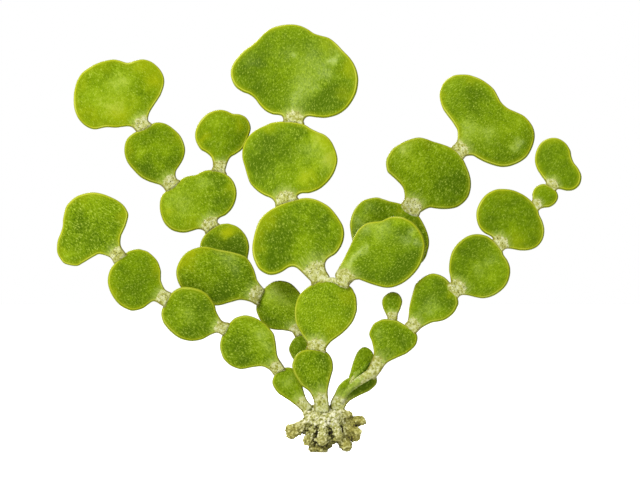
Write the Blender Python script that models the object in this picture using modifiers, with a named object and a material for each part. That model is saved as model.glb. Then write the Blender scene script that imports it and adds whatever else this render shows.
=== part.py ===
"""Cactus algae, a green calcareous seaweed: chains of flat fleshy segments that branch up from a holdfast.

Every segment is one solid: a thin blade together with the short pale stalk that it stands on. A stalk ends
0.3 mm short of the segment that it grows from. The holdfast is a knobbly cluster of short fingers, cut flat
where it stood on rock.

The plant is drawn on a squared sheet, seen from its open side. The sheet's columns run to the right and its
rows run down, one square is 0.3 mm, and each outline goes from the left corner of the stalk's foot up and
round the blade to the foot's right corner. In the model X runs along the columns, Z is up from the floor and
Y is the depth, away from the viewer. Lengths outside the drawing are in millimetres until they reach
Blender, which has metres.
"""

import math
from functools import partial

import bmesh
import bpy
from mathutils import Vector
from mathutils.geometry import delaunay_2d_cdt, intersect_point_line

MM = 0.001
SQUARE = 0.3
CENTRE_COLUMN = 320
FLOOR_ROW = 452

BLADE_THICKNESS = 1.5
THIN_BLADE = 1.35
THICK_BLADE = 1.7
STALK_THICKNESS = 2.3
RIM_FULLNESS = 0.3
RIM_ROUNDING = 1.0
GAP = 0.4

LONGEST_SIDE = 3.4
RIM_INSET = 0.6
INSET_CLEARANCE = 0.48
INNER_SPACING = 5.6
INNER_CLEARANCE = 1.8

HOLDFAST_DETAIL = 0.62
HOLDFAST_KEPT = 0.34
LUMPS_BETWEEN = 4
CUTTER_SIZE = 60.0
STALKS_ROW = 410.4
CROWN_ROW = 411.4
LEFT_FOOT = ((303.2, 413.0), (312.3, 406.4))
LEFT_PAD_DROP = 0.45

GREEN = (0.20, 0.30, 0.02)
CREAM = (0.52, 0.48, 0.24)


def clear_scene():
    for old in list(bpy.data.objects):
        bpy.data.objects.remove(old, do_unlink=True)


def new_collection(name):
    collection = bpy.data.collections.new(name)
    bpy.context.scene.collection.children.link(collection)
    return collection


def new_material(name, colour, roughness):
    material = bpy.data.materials.new(name)
    material.use_nodes = True
    surface = material.node_tree.nodes["Principled BSDF"]
    surface.inputs["Base Color"].default_value = (*colour, 1.0)
    surface.inputs["Roughness"].default_value = roughness
    surface.inputs["Metallic"].default_value = 0.0
    return material


def on_plant(column, row):
    """A point of the drawing as (across, up) in millimetres, from the middle of the floor line."""
    return Vector(((column - CENTRE_COLUMN) * SQUARE, (FLOOR_ROW - row) * SQUARE))


# Outlines

def spline_point(before, start, end, after, part):
    """A Catmull-Rom spline's point between start and end."""
    straight = 2 * start + (end - before) * part
    bend = (2 * before - 5 * start + 4 * end - after) * part ** 2
    twist = (3 * start - before - 3 * end + after) * part ** 3
    return (straight + bend + twist) / 2


def smooth_side(points, longest):
    """The spline through the points, with extra points only where two of them are far apart."""
    ends = [2 * points[0] - points[1]] + points + [2 * points[-1] - points[-2]]
    side = []
    for before, start, end, after in zip(ends, ends[1:], ends[2:], ends[3:]):
        steps = math.ceil((end - start).length / longest)
        side += [spline_point(before, start, end, after, step / steps) for step in range(steps)]
    return side + [points[-1]]


def distance_to_line(point, start, end):
    nearest, part = intersect_point_line(point, start, end)
    if part < 0:
        return (point - start).length
    if part > 1:
        return (point - end).length
    return (point - nearest.to_2d()).length


def distance_to_side(point, side, closed=False):
    ends = side[1:] + side[:1] if closed else side[1:]
    return min(distance_to_line(point, start, end) for start, end in zip(side, ends))


def is_inside(point, outline):
    """True where a line to the right of the point crosses the outline an odd number of times."""
    crossings = 0
    for start, end in zip(outline, outline[1:] + outline[:1]):
        if (start.y > point.y) != (end.y > point.y):
            across = start.x + (point.y - start.y) * (end.x - start.x) / (end.y - start.y)
            crossings += across > point.x
    return crossings % 2 == 1


def drawn_clear(point, direction, outline):
    """The point, moved in small steps until it is GAP outside the outline."""
    step = GAP / 8
    while is_inside(point, outline) or distance_to_side(point, outline, closed=True) < GAP:
        point = point + direction * step
    return point


# Segments

class Segment:
    """One blade with its stalk: its outline on the sheet and the bent surface that its middle follows."""

    def __init__(self, name, grows_from, drawing, step=0.0, lean=0.0, turn=0.0, curl=0.0, cup=0.0,
                 joined="rim", thickness=BLADE_THICKNESS, stalk_thickness=STALK_THICKNESS, stalk=3.5):
        self.name = name
        self.lean = lean
        self.turn = turn
        self.curl = curl
        self.cup = cup
        self.thickness = thickness
        self.stalk_thickness = stalk_thickness
        self.stalk = stalk
        corners = [on_plant(*point) for point in drawing]
        self.foot = (corners[0] + corners[-1]) / 2
        middle = sum(corners, Vector((0, 0))) / len(corners)
        self.along = (middle - self.foot).normalized()
        self.across = Vector((self.along.y, -self.along.x))
        self.length = max((point - self.foot).dot(self.along) for point in corners)
        self.half_width = max(abs((point - self.foot).dot(self.across)) for point in corners)
        self.foot_depth = step
        if grows_from:
            self.foot_depth += grows_from.depth(self.foot)
        self.side = smooth_side(corners, LONGEST_SIDE)
        self.foot_line = [self.side[-1].lerp(self.side[0], part / 3) for part in (1, 2)]
        if grows_from and joined == "rim":
            parent = grows_from.outline()
            self.side = [drawn_clear(point, self.along, parent) for point in self.side]
            self.foot_line = [drawn_clear(point, self.along, parent) for point in self.foot_line]

    def outline(self):
        return self.side + self.foot_line

    def depth(self, point):
        """How far back the blade's middle lies at a point of the sheet."""
        along = (point - self.foot).dot(self.along) / self.length
        across = (point - self.foot).dot(self.across) / self.half_width
        bend = self.lean * along + self.turn * across
        return self.foot_depth + bend + self.curl * along ** 2 + self.cup * across ** 2

    def fullness(self, point):
        """The thickness there, as a part of the stalk's thickness: thin at the rim, full a little way in."""
        inset = min(distance_to_side(point, self.side) / RIM_ROUNDING, 1.0)
        rounded = math.sqrt(1 - (1 - inset) ** 2)
        rim = RIM_FULLNESS + (1 - RIM_FULLNESS) * rounded
        past_stalk = min(max((point - self.foot).length / self.stalk - 0.6, 0.0), 1.0)
        blade = self.thickness / self.stalk_thickness
        return rim * (1 + (blade - 1) * past_stalk)


def inset_points(outline):
    """A row of points a little way in from the rim."""
    row = []
    for before, point, after in zip(outline[-1:] + outline, outline, outline[1:] + outline[:1]):
        edge = (after - before).normalized()
        inner = point + Vector((edge.y, -edge.x)) * RIM_INSET
        if is_inside(inner, outline) and distance_to_side(inner, outline, closed=True) > INSET_CLEARANCE:
            row.append(inner)
    return row


def spread_points(outline):
    """Points in staggered rows over the middle of the blade."""
    left = min(point.x for point in outline)
    right = max(point.x for point in outline)
    low = min(point.y for point in outline)
    high = max(point.y for point in outline)
    row_height = INNER_SPACING * math.sqrt(0.75)
    spread = []
    for row in range(math.ceil((high - low) / row_height)):
        for column in range(math.ceil((right - left) / INNER_SPACING) + 1):
            shift = 0.5 * (row % 2)
            point = Vector((left + (column + shift) * INNER_SPACING, low + (row + 0.5) * row_height))
            if is_inside(point, outline) and distance_to_side(point, outline, closed=True) > INNER_CLEARANCE:
                spread.append(point)
    return spread


def build_segment(segment, collection):
    """The segment's middle as an open sheet of triangles, which Solidify gives its thickness."""
    outline = segment.outline()
    points = outline + inset_points(outline) + spread_points(outline)
    rim = [list(range(len(outline)))]
    keep_inside = 1
    points, _, faces, _, _, _ = delaunay_2d_cdt(points, [], rim, keep_inside, 1e-6)

    foot = Vector((segment.foot.x, segment.foot_depth, segment.foot.y)) * MM
    mesh = bpy.data.meshes.new(segment.name)
    places = [Vector((point.x, segment.depth(point), point.y)) * MM - foot for point in points]
    mesh.from_pydata(places, [], faces)
    sheet = bpy.data.objects.new(segment.name, mesh)
    sheet.location = foot
    collection.objects.link(sheet)
    mesh.materials.append(new_material(segment.name, GREEN, 0.5))

    fullness = sheet.vertex_groups.new(name="fullness")
    for index, point in enumerate(points):
        fullness.add([index], segment.fullness(point), "REPLACE")
    solid = sheet.modifiers.new("thickness", "SOLIDIFY")
    solid.thickness = segment.stalk_thickness * MM
    solid.offset = 0.0
    solid.vertex_group = "fullness"
    return sheet


def left_low_branch(build):
    """The lower left chain, which comes forward as it climbs."""
    first = build("left_low_1", None, [
        LEFT_FOOT[0], (297.5, 407.0), (288.0, 399.8), (277.5, 392.3), (272.6, 383.5), (274.5, 375.5),
        (279.5, 370.5), (287.5, 367.7), (295.5, 370.5), (300.5, 378.5), (303.0, 390.0), (306.6, 399.8),
        LEFT_FOOT[1],
    ], step=0.2, lean=0.4, turn=0.8, stalk=6.0)
    second = build("left_low_2", first, [
        (274.4, 375.2), (269.5, 369.6), (262.5, 366.2), (253.0, 366.8), (242.0, 368.8), (230.5, 365.0),
        (222.8, 356.5), (220.2, 346.0), (222.5, 335.5), (227.0, 327.0), (233.5, 319.3), (245.0, 315.4),
        (257.0, 318.8), (267.0, 325.9), (273.2, 333.4), (275.8, 345.0), (277.6, 356.8), (285.2, 368.0),
    ], lean=-2.4, turn=-0.8, cup=0.5)
    third = build("left_low_3", second, [
        (222.6, 335.0), (217.0, 332.4), (211.0, 334.3), (202.0, 339.0), (193.0, 340.7), (181.0, 338.4),
        (170.5, 330.8), (163.2, 321.0), (161.8, 312.0), (166.0, 301.5), (173.5, 291.5), (180.0, 287.8),
        (188.0, 286.9), (199.0, 289.3), (208.5, 295.5), (214.3, 304.0), (216.5, 312.0), (222.0, 320.7),
        (229.6, 323.0),
    ], lean=-3.0, turn=-0.6, cup=-0.6)
    fourth = build("left_low_4", third, [
        (163.3, 306.5), (157.0, 302.0), (152.0, 301.6), (143.0, 308.0), (133.5, 310.4), (121.5, 305.5),
        (112.5, 294.5), (108.5, 281.5), (111.5, 268.5), (120.5, 258.5), (128.5, 251.8), (137.5, 249.3),
        (149.0, 252.7), (157.0, 260.7), (160.6, 270.0), (161.2, 281.5), (165.0, 289.5), (171.5, 293.2),
    ], lean=-2.2, turn=1.4, curl=-0.6)
    build("left_low_5", fourth, [
        (114.6, 262.8), (110.5, 257.0), (100.5, 253.8), (89.5, 259.0), (77.0, 265.6), (66.0, 263.5),
        (58.3, 253.0), (58.8, 240.0), (61.6, 233.0), (63.7, 226.0), (64.2, 218.5), (66.9, 207.5),
        (77.0, 197.0), (94.0, 192.7), (110.5, 197.0), (123.5, 205.0), (128.7, 215.5), (126.3, 225.2),
        (121.3, 237.0), (121.2, 245.5), (125.2, 251.8),
    ], lean=-1.6, turn=-1.6, cup=0.8)


def left_high_branch(build):
    """The upper left chain, which starts behind the middle one and goes back as it climbs."""
    first = build("left_high_1", None, [
        (316.0, STALKS_ROW), (314.5, 396.0), (307.0, 380.0), (298.0, 366.0), (291.5, 356.0), (289.2, 350.0),
        (290.5, 344.5), (294.5, 338.5), (300.0, 335.0), (306.0, 338.5), (311.0, 352.0), (316.0, 368.0),
        (321.0, 382.0), (324.5, 396.0), (325.0, STALKS_ROW),
    ], step=3.4, lean=1.0, stalk=8.0)
    second = build("left_high_2", first, [
        (294.6, 336.0), (291.5, 332.0), (283.5, 330.2), (271.0, 328.8), (261.0, 320.8), (256.4, 309.0),
        (257.8, 298.5), (264.5, 288.5), (272.5, 282.4), (281.0, 281.0), (290.5, 283.8), (298.5, 291.5),
        (303.0, 302.0), (303.2, 313.0), (301.0, 322.5), (304.0, 332.0),
    ], lean=0.4, turn=-0.4)
    build("left_fan", second, [
        (256.4, 305.2), (249.5, 301.5), (240.0, 299.8), (229.5, 302.3), (219.0, 305.2), (205.0, 303.5),
        (190.5, 297.0), (180.5, 286.5), (176.4, 274.0), (179.0, 262.5), (187.5, 252.0), (203.0, 246.9),
        (218.0, 249.8), (233.5, 252.8), (246.0, 257.8), (253.4, 269.3), (257.2, 281.0), (262.8, 288.3),
    ], step=-1.3, lean=-4.6, turn=0.8, cup=0.4)
    third = build("left_high_3", second, [
        (255.0, 300.0), (243.0, 289.5), (225.0, 280.0), (208.0, 268.0), (200.3, 252.0), (201.5, 240.0),
        (208.5, 231.0), (217.0, 225.5), (226.0, 223.8), (237.0, 227.0), (245.5, 236.0), (248.8, 247.0),
        (247.4, 259.0), (248.5, 270.0), (254.0, 281.0), (261.0, 291.5),
    ], step=1.3, lean=2.2, turn=0.4)
    fourth = build("left_high_4", third, [
        (205.0, 234.4), (204.2, 231.4), (201.2, 229.6), (197.0, 229.2), (191.3, 230.9), (185.5, 232.4),
        (178.8, 232.2), (171.1, 229.7), (164.4, 223.5), (160.8, 215.4), (159.4, 207.2), (160.3, 198.5),
        (164.0, 192.6), (170.5, 188.4), (176.5, 183.2), (183.0, 178.0), (189.0, 175.9), (195.5, 174.9),
        (201.2, 171.9), (206.8, 170.2), (212.5, 170.2), (219.0, 171.5), (225.5, 174.4), (230.6, 178.3),
        (234.4, 184.4), (236.2, 192.0), (235.2, 200.4), (231.6, 208.3), (225.7, 214.5), (220.0, 217.3),
        (217.3, 219.9), (217.4, 222.8), (219.4, 224.4),
    ], lean=1.6, turn=0.8, cup=-0.7)
    fifth = build("left_high_5", fourth, [
        (165.2, 191.8), (163.4, 188.2), (159.8, 184.9), (154.5, 183.1), (147.5, 180.8), (140.0, 176.7),
        (132.9, 169.6), (127.2, 162.3), (124.3, 154.0), (124.2, 146.0), (126.4, 139.3), (131.2, 134.2),
        (136.5, 131.2), (143.0, 128.6), (150.0, 124.4), (156.7, 122.2), (165.3, 123.8), (173.3, 129.2),
        (179.6, 135.7), (183.2, 143.6), (184.3, 150.8), (182.4, 158.7), (178.9, 165.0), (175.5, 170.2),
        (174.7, 175.0), (176.2, 178.9), (179.0, 180.6),
    ], lean=-1.4, turn=1.2)
    build("left_high_6", fifth, [
        (135.4, 131.0), (131.6, 126.9), (127.0, 125.8), (115.0, 127.1), (105.2, 126.8), (94.3, 128.8),
        (87.0, 126.6), (80.5, 121.4), (76.0, 114.3), (73.6, 105.5), (73.5, 94.5), (76.6, 81.0),
        (83.0, 71.5), (92.0, 65.4), (102.5, 61.1), (112.0, 59.3), (118.5, 60.2), (126.8, 62.5),
        (135.0, 60.3), (142.6, 59.1), (151.0, 61.8), (158.4, 68.2), (162.7, 76.0), (163.2, 84.0),
        (160.2, 93.5), (154.3, 103.2), (149.2, 111.3), (147.2, 117.5), (147.8, 121.0), (150.5, 122.9),
    ], lean=-2.6, turn=1.0, cup=0.9)
    build("left_high_side", fourth, [
        (211.0, 170.6), (212.4, 166.6), (212.5, 161.8), (210.5, 156.5), (205.6, 152.2), (200.3, 149.0),
        (196.2, 142.3), (194.7, 135.6), (195.8, 128.3), (199.4, 121.2), (205.6, 114.4), (212.8, 110.7),
        (220.0, 109.5), (226.3, 110.8), (232.3, 113.4), (239.0, 114.0), (244.8, 116.7), (248.8, 122.1),
        (250.1, 128.6), (248.0, 136.0), (245.3, 143.0), (241.5, 149.0), (235.6, 153.5), (230.2, 156.8),
        (227.2, 161.8), (225.5, 167.0), (224.8, 171.0), (226.4, 174.8),
    ], lean=1.8, turn=0.8)


def middle_branch(build):
    """The middle chain, the tallest. Its second segment is also the fork that it returns."""
    first = build("middle_1", None, [
        (314.3, STALKS_ROW), (313.6, 400.0), (309.0, 391.0), (301.5, 385.0), (295.3, 375.6), (292.5, 364.0),
        (296.5, 354.5), (305.0, 349.8), (316.0, 349.5), (326.0, 351.8), (331.5, 359.0), (332.8, 368.0),
        (330.0, 379.0), (327.6, 391.0), (328.6, 403.0), (329.0, STALKS_ROW),
    ], step=-1.8, lean=-1.4, turn=0.4, stalk=7.0)
    second = build("middle_2", first, [
        (306.0, 349.0), (307.5, 343.0), (302.0, 334.3), (296.8, 324.5), (295.1, 311.0), (298.8, 296.8),
        (307.5, 287.8), (318.5, 281.9), (330.0, 280.8), (341.5, 281.8), (350.5, 287.0), (356.0, 297.5),
        (356.8, 308.5), (352.5, 321.5), (342.5, 332.8), (331.0, 341.5), (326.3, 347.5), (326.0, 351.3),
    ], lean=-0.2, turn=-0.8, cup=0.4)
    third = build("middle_3", second, [
        (311.9, 285.6), (310.8, 281.4), (306.0, 276.3), (300.6, 271.0), (296.3, 267.6), (292.0, 266.7),
        (287.9, 267.9), (282.2, 271.6), (276.3, 274.1), (270.2, 274.8), (264.6, 273.0), (259.1, 269.0),
        (255.2, 262.0), (252.9, 254.2), (252.6, 246.0), (254.2, 236.5), (257.0, 226.4), (261.2, 218.3),
        (268.0, 211.9), (276.0, 207.0), (286.0, 202.6), (298.0, 199.3), (306.0, 198.2), (314.0, 199.3),
        (321.5, 202.3), (328.9, 206.9), (334.3, 212.7), (338.8, 219.0), (342.6, 225.8), (344.1, 233.3),
        (343.0, 241.3), (339.9, 248.3), (335.5, 253.8), (330.0, 257.3), (326.5, 260.5), (324.9, 265.1),
        (326.0, 270.8), (328.6, 275.2), (331.0, 280.0),
    ], lean=2.4, turn=1.0, cup=-0.8)
    fourth = build("middle_4", third, [
        (275.2, 206.4), (275.4, 203.6), (273.6, 200.2), (270.6, 197.9), (264.4, 195.3), (257.8, 191.0),
        (250.9, 183.8), (247.8, 176.2), (245.2, 167.0), (243.0, 159.4), (242.5, 153.5), (243.4, 147.5),
        (246.0, 141.0), (250.2, 135.0), (257.1, 129.5), (264.2, 126.1), (271.9, 122.9), (280.0, 121.8),
        (292.0, 122.0), (304.4, 124.8), (311.0, 128.9), (317.8, 132.2), (324.7, 135.2), (330.3, 140.5),
        (334.2, 147.7), (336.8, 155.7), (337.1, 162.6), (334.6, 171.2), (330.2, 178.9), (324.3, 185.3),
        (317.8, 189.9), (309.5, 192.9), (302.1, 193.3), (298.6, 194.9), (297.3, 197.2), (298.4, 199.6),
    ], lean=2.2, turn=-1.8, cup=0.9)
    build("middle_fan", fourth, [
        (283.0, 122.2), (283.6, 119.4), (282.0, 116.0), (278.4, 114.8), (272.6, 114.1), (265.8, 110.8),
        (260.0, 105.2), (255.3, 98.9), (249.6, 94.4), (242.5, 91.6), (236.1, 87.1), (232.2, 80.5),
        (230.8, 72.5), (232.6, 64.9), (237.5, 57.6), (244.2, 50.5), (251.5, 45.4), (257.4, 40.2),
        (263.2, 34.2), (270.0, 28.9), (278.8, 25.7), (290.0, 24.3), (299.5, 25.5), (307.2, 28.9),
        (314.0, 33.4), (321.0, 35.7), (328.8, 38.0), (336.0, 43.4), (342.7, 50.5), (350.0, 58.2),
        (355.0, 66.2), (357.7, 74.8), (358.1, 82.6), (356.4, 92.2), (352.3, 100.8), (346.1, 108.8),
        (337.3, 114.7), (326.4, 117.6), (317.8, 117.3), (309.0, 116.3), (305.2, 118.1), (303.6, 121.3),
        (304.6, 124.6),
    ], lean=2.6, turn=-1.0, curl=0.8, cup=-1.0)
    return second


def right_high_branch(build, fork):
    """A broad fan in front and a chain behind it, which both leave the middle chain's fork to the right."""
    build("front_fan", fork, [
        (334.5, 281.0), (335.5, 274.5), (343.5, 260.0), (350.5, 246.0), (357.5, 231.5), (367.5, 223.3),
        (381.5, 221.2), (391.0, 217.2), (401.0, 217.2), (413.5, 223.7), (422.5, 236.0), (424.8, 249.5),
        (419.2, 266.0), (408.4, 278.6), (396.6, 285.6), (385.0, 287.3), (370.0, 283.3), (358.0, 279.3),
        (350.0, 281.7), (348.8, 285.5),
    ], step=-1.3, lean=-3.0, turn=-1.0, cup=0.5)
    behind = build("right_high_1", fork, [
        (340.0, 282.0), (346.5, 268.0), (354.0, 255.0), (352.5, 241.0), (350.0, 224.0), (355.2, 208.6),
        (365.0, 200.0), (376.0, 197.7), (390.0, 201.6), (402.0, 204.5), (413.0, 210.0), (422.5, 222.5),
        (428.5, 238.0), (427.5, 251.0), (420.4, 263.4), (400.0, 268.5), (380.0, 271.0), (362.0, 274.5),
        (350.0, 284.0),
    ], step=1.3, lean=4.4, turn=0.6)
    above = build("right_high_2", behind, [
        (400.8, 204.5), (404.8, 197.5), (403.0, 187.5), (395.6, 179.2), (387.2, 170.6), (386.4, 160.0),
        (391.6, 150.2), (403.8, 142.0), (419.0, 137.6), (433.0, 141.6), (448.0, 146.5), (459.0, 153.5),
        (466.5, 166.5), (470.9, 181.5), (468.2, 196.8), (457.0, 207.0), (442.0, 208.9), (429.0, 207.8),
        (421.0, 212.0), (418.6, 217.2),
    ], lean=2.2, turn=1.2, cup=-0.6)
    build("right_high_3", above, [
        (451.3, 147.5), (457.5, 140.5), (458.0, 131.0), (452.0, 120.5), (443.5, 108.5), (440.3, 94.0),
        (445.5, 81.0), (456.5, 74.8), (467.0, 74.5), (481.0, 79.0), (494.0, 89.0), (501.0, 101.5),
        (509.5, 109.0), (524.0, 115.8), (533.3, 127.5), (534.3, 141.0), (527.0, 156.5), (513.5, 164.8),
        (500.0, 166.5), (484.0, 161.3), (473.0, 155.5), (466.5, 156.0), (463.3, 159.8),
    ], lean=1.4, turn=-1.4, cup=0.8)


def right_branch(build):
    """The right-hand chain, which leaves a club-shaped first segment and comes forward."""
    first = build("right_1", None, [
        (331.0, STALKS_ROW), (330.5, 402.5), (335.0, 393.5), (339.5, 385.0), (346.5, 379.0), (355.5, 376.0),
        (364.0, 373.0), (371.0, 372.5), (376.0, 376.5), (376.3, 383.5), (370.0, 390.0), (358.0, 396.0),
        (348.5, 402.0), (344.0, STALKS_ROW),
    ], step=0.2, lean=-0.4, stalk=6.0)
    build("right_bud_low", first, [
        (347.8, 379.0), (350.8, 371.5), (353.8, 361.0), (358.2, 351.4), (364.0, 347.4), (370.5, 350.3),
        (373.4, 356.5), (370.5, 364.0), (364.5, 370.0), (359.0, 376.5),
    ], step=0.9, lean=1.4, stalk_thickness=1.9, stalk=2.5)
    second = build("right_2", first, [
        (366.8, 370.5), (371.5, 361.5), (374.0, 352.5), (372.0, 341.5), (369.4, 333.5), (373.5, 324.3),
        (384.0, 319.1), (395.0, 319.8), (404.0, 324.5), (411.5, 329.0), (417.0, 335.5), (415.5, 344.5),
        (407.5, 352.3), (396.0, 357.8), (386.5, 363.0), (380.0, 372.0), (376.3, 376.8),
    ], step=-2.2, lean=-1.2, joined="front", stalk_thickness=2.0, stalk=3.0)
    build("right_bud_high", second, [
        (387.5, 319.0), (386.0, 314.0), (382.8, 306.5), (382.7, 299.4), (386.9, 294.2), (392.5, 292.2),
        (398.5, 294.3), (401.8, 300.5), (400.5, 307.5), (397.8, 314.0), (397.2, 320.0),
    ], lean=0.6, stalk_thickness=1.8, stalk=2.0)
    third = build("right_3", second, [
        (404.6, 324.5), (408.3, 319.0), (409.3, 308.5), (412.3, 295.5), (416.5, 283.3), (424.8, 276.4),
        (433.5, 273.7), (443.5, 277.0), (451.0, 284.5), (455.5, 292.0), (458.0, 302.0), (453.5, 312.5),
        (443.5, 319.8), (431.0, 322.5), (422.0, 327.2), (416.2, 333.0),
    ], lean=-2.0, turn=-0.8)
    fourth = build("right_4", third, [
        (449.5, 282.8), (450.6, 279.5), (449.9, 275.5), (448.9, 269.5), (449.4, 261.0), (451.5, 252.5),
        (455.2, 246.0), (461.2, 240.0), (469.0, 235.5), (477.5, 234.2), (486.0, 236.0), (492.0, 240.0),
        (497.5, 245.3), (501.6, 250.8), (503.0, 255.0), (507.0, 260.8), (509.4, 268.0), (509.1, 276.0),
        (506.0, 284.2), (500.2, 290.6), (492.5, 295.5), (484.0, 297.8), (476.5, 297.1), (468.0, 295.0),
        (462.0, 294.6), (458.7, 296.2), (457.6, 298.4),
    ], lean=-1.8, turn=1.0, cup=-0.5)
    fifth = build("right_5", fourth, [
        (491.6, 239.2), (489.6, 235.8), (483.5, 232.5), (478.9, 227.3), (476.2, 219.0), (476.5, 210.0),
        (480.5, 201.0), (486.5, 194.2), (494.5, 190.1), (502.5, 189.3), (512.0, 190.5), (521.0, 194.2),
        (528.0, 199.0), (533.5, 204.5), (537.3, 210.0), (538.4, 214.6), (541.6, 221.5), (543.5, 230.0),
        (542.0, 239.0), (536.6, 246.3), (529.0, 249.7), (520.0, 250.2), (511.0, 248.7), (506.0, 248.4),
        (503.4, 249.8), (502.2, 252.2),
    ], lean=0.8, turn=1.2)
    sixth = build("right_6", fifth, [
        (530.8, 201.2), (532.1, 198.0), (532.0, 193.8), (534.0, 188.8), (538.2, 185.6), (543.5, 184.4),
        (549.5, 186.8), (554.8, 190.6), (557.4, 196.6), (555.0, 202.8), (549.5, 206.8), (543.0, 207.8),
        (539.6, 209.0), (537.9, 211.4),
    ], lean=0.8, stalk_thickness=1.9, stalk=2.2)
    build("right_7", sixth, [
        (545.0, 184.6), (544.8, 181.2), (541.0, 175.8), (536.6, 168.5), (534.8, 160.0), (536.6, 150.5),
        (541.5, 142.7), (549.0, 138.8), (557.3, 138.8), (564.8, 143.3), (569.6, 150.5), (570.9, 157.0),
        (573.2, 163.0), (577.8, 169.2), (580.7, 176.5), (579.1, 184.5), (573.7, 189.6), (567.0, 190.8),
        (560.3, 189.4), (557.4, 189.2), (555.9, 191.2),
    ], lean=1.6, turn=-0.8, stalk_thickness=1.9, stalk=2.5)


# Holdfast

def finger(sheet, *lumps):
    """Round lumps in a row, with smaller steps between them, so that they merge into one knobbly finger.

    A lump is its column and row on the sheet, its depth and its radius.
    """
    for start, end in zip(lumps, lumps[1:]):
        for step in range(LUMPS_BETWEEN):
            part = step / LUMPS_BETWEEN
            add_lump(sheet, *(first + (last - first) * part for first, last in zip(start, end)))
    add_lump(sheet, *lumps[-1])


def add_lump(sheet, column, row, depth, radius):
    place = on_plant(column, row)
    ball = bmesh.ops.create_icosphere(sheet, subdivisions=2, radius=radius * MM)
    bmesh.ops.translate(sheet, verts=ball["verts"], vec=Vector((place.x, depth, place.y)) * MM)


def add_fingers(sheet):
    """The whole cluster: a crown under the stalks, fingers to each side, and feet down to the rock."""
    finger(sheet, (309, 419, 0.5, 2.0), (322, 419, -0.6, 2.6), (336, 419, 0.3, 2.4), (342, 421, 0.5, 1.7))
    finger(sheet, (313, 421, 3.4, 2.0), (322, 419, 3.6, 2.4), (334, 421, 3.2, 2.2))
    finger(sheet, (322, 430, 1.0, 2.7), (337, 430, 1.2, 2.6))

    finger(sheet, (309, 423, -0.2, 1.6), (300, 427, -0.8, 1.5), (294, 428.5, -1.2, 1.05))
    finger(sheet, (294, 428.5, -1.2, 1.1), (290, 429, -1.4, 1.35))
    finger(sheet, (299, 430, -0.6, 1.2), (295, 432.5, -0.7, 0.95), (292, 434.2, -0.8, 1.35))
    finger(sheet, (301, 425, -0.4, 1.0), (296.5, 424.5, -0.2, 0.7))
    finger(sheet, (313, 430, -0.8, 1.6), (310.5, 435, -1.1, 1.35), (308, 439.5, -1.4, 1.7))
    finger(sheet, (321, 428, -1.8, 1.7), (321, 438.5, -4.0, 1.75))
    finger(sheet, (320, 438, 0.0, 2.0), (315.5, 448.8, -0.6, 1.55))
    finger(sheet, (321, 440, -0.4, 1.8), (322.5, 449, -2.6, 1.6))
    finger(sheet, (320, 442, 0.4, 1.7), (320, 448, 0.2, 1.75))
    finger(sheet, (322, 445, 0.2, 1.6), (326, 447.5, 0.6, 1.1))
    finger(sheet, (335, 431, -1.6, 1.9), (337.5, 439.6, -2.6, 1.6), (341, 443, -2.2, 1.35))
    finger(sheet, (341, 443, -2.2, 1.35), (346, 446.4, -1.4, 1.85))
    finger(sheet, (344, 428, 0.2, 1.6), (348.5, 429.5, 0.3, 1.3), (354, 432, 0.4, 1.75))
    finger(sheet, (351, 431, 0.6, 1.4), (353.5, 436.2, 1.4, 1.3))
    finger(sheet, (343, 420, 0.8, 1.5), (353, 421.5, 1.2, 1.2), (360.2, 420.2, 1.2, 1.8))
    finger(sheet, (352, 424, 1.6, 1.1), (357.5, 425.4, 2.0, 0.9))
    finger(sheet, (343, 417.5, 0.4, 1.1), (348.6, 415.0, 0.2, 0.95))

    finger(sheet, (318, 430, 4.0, 2.0), (312, 441, 6.4, 1.8), (311, 447, 7.4, 1.8))
    finger(sheet, (324, 434, 4.2, 2.0), (326, 447, 6.0, 1.8))
    finger(sheet, (337, 430, 3.6, 2.0), (345, 446.4, 6.2, 1.9))
    finger(sheet, (326, 424, 4.6, 1.8), (331, 432, 7.0, 1.6))


def add_cutter(name, collection, corner, slope):
    """A box above or below a line of the sheet: its middle lies out along the line's upward side."""
    bpy.ops.mesh.primitive_cube_add(size=CUTTER_SIZE * MM, location=(0, 0, 0), rotation=(0, slope, 0))
    box = bpy.context.object
    box.name = name
    box.location = (corner.x * MM, 0, corner.y * MM)
    out = Vector((math.sin(slope), 0, math.cos(slope)))
    box.location += out * (CUTTER_SIZE * MM / 2)
    for linked in list(box.users_collection):
        linked.objects.unlink(box)
    collection.objects.link(box)
    box.hide_render = True
    box.display_type = "WIRE"
    return box


def build_holdfast(collection, cutters):
    """The lumps merged into one skin, then cut flat under the stalks and at the floor."""
    mesh = bpy.data.meshes.new("holdfast")
    lumps = bmesh.new()
    add_fingers(lumps)
    lumps.to_mesh(mesh)
    lumps.free()
    holdfast = bpy.data.objects.new("holdfast", mesh)
    collection.objects.link(holdfast)
    mesh.materials.append(new_material("holdfast", CREAM, 0.8))

    merge = holdfast.modifiers.new("merge", "REMESH")
    merge.mode = "VOXEL"
    merge.voxel_size = HOLDFAST_DETAIL * MM
    simplify = holdfast.modifiers.new("simplify", "DECIMATE")
    simplify.ratio = HOLDFAST_KEPT

    pad_start, pad_end = (on_plant(*corner) for corner in LEFT_FOOT)
    left_slope = -math.atan2(pad_end.y - pad_start.y, pad_end.x - pad_start.x)
    left_pad = pad_start - Vector((math.sin(left_slope), math.cos(left_slope))) * LEFT_PAD_DROP
    boxes = [
        add_cutter("floor_cutter", cutters, on_plant(CENTRE_COLUMN, FLOOR_ROW), math.pi),
        add_cutter("crown_cutter", cutters, on_plant(CENTRE_COLUMN, CROWN_ROW), 0.0),
        add_cutter("left_pad_cutter", cutters, left_pad, left_slope),
    ]
    for box in boxes:
        cut = holdfast.modifiers.new(box.name, "BOOLEAN")
        cut.operation = "DIFFERENCE"
        cut.solver = "EXACT"
        cut.object = box
    return holdfast


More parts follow.
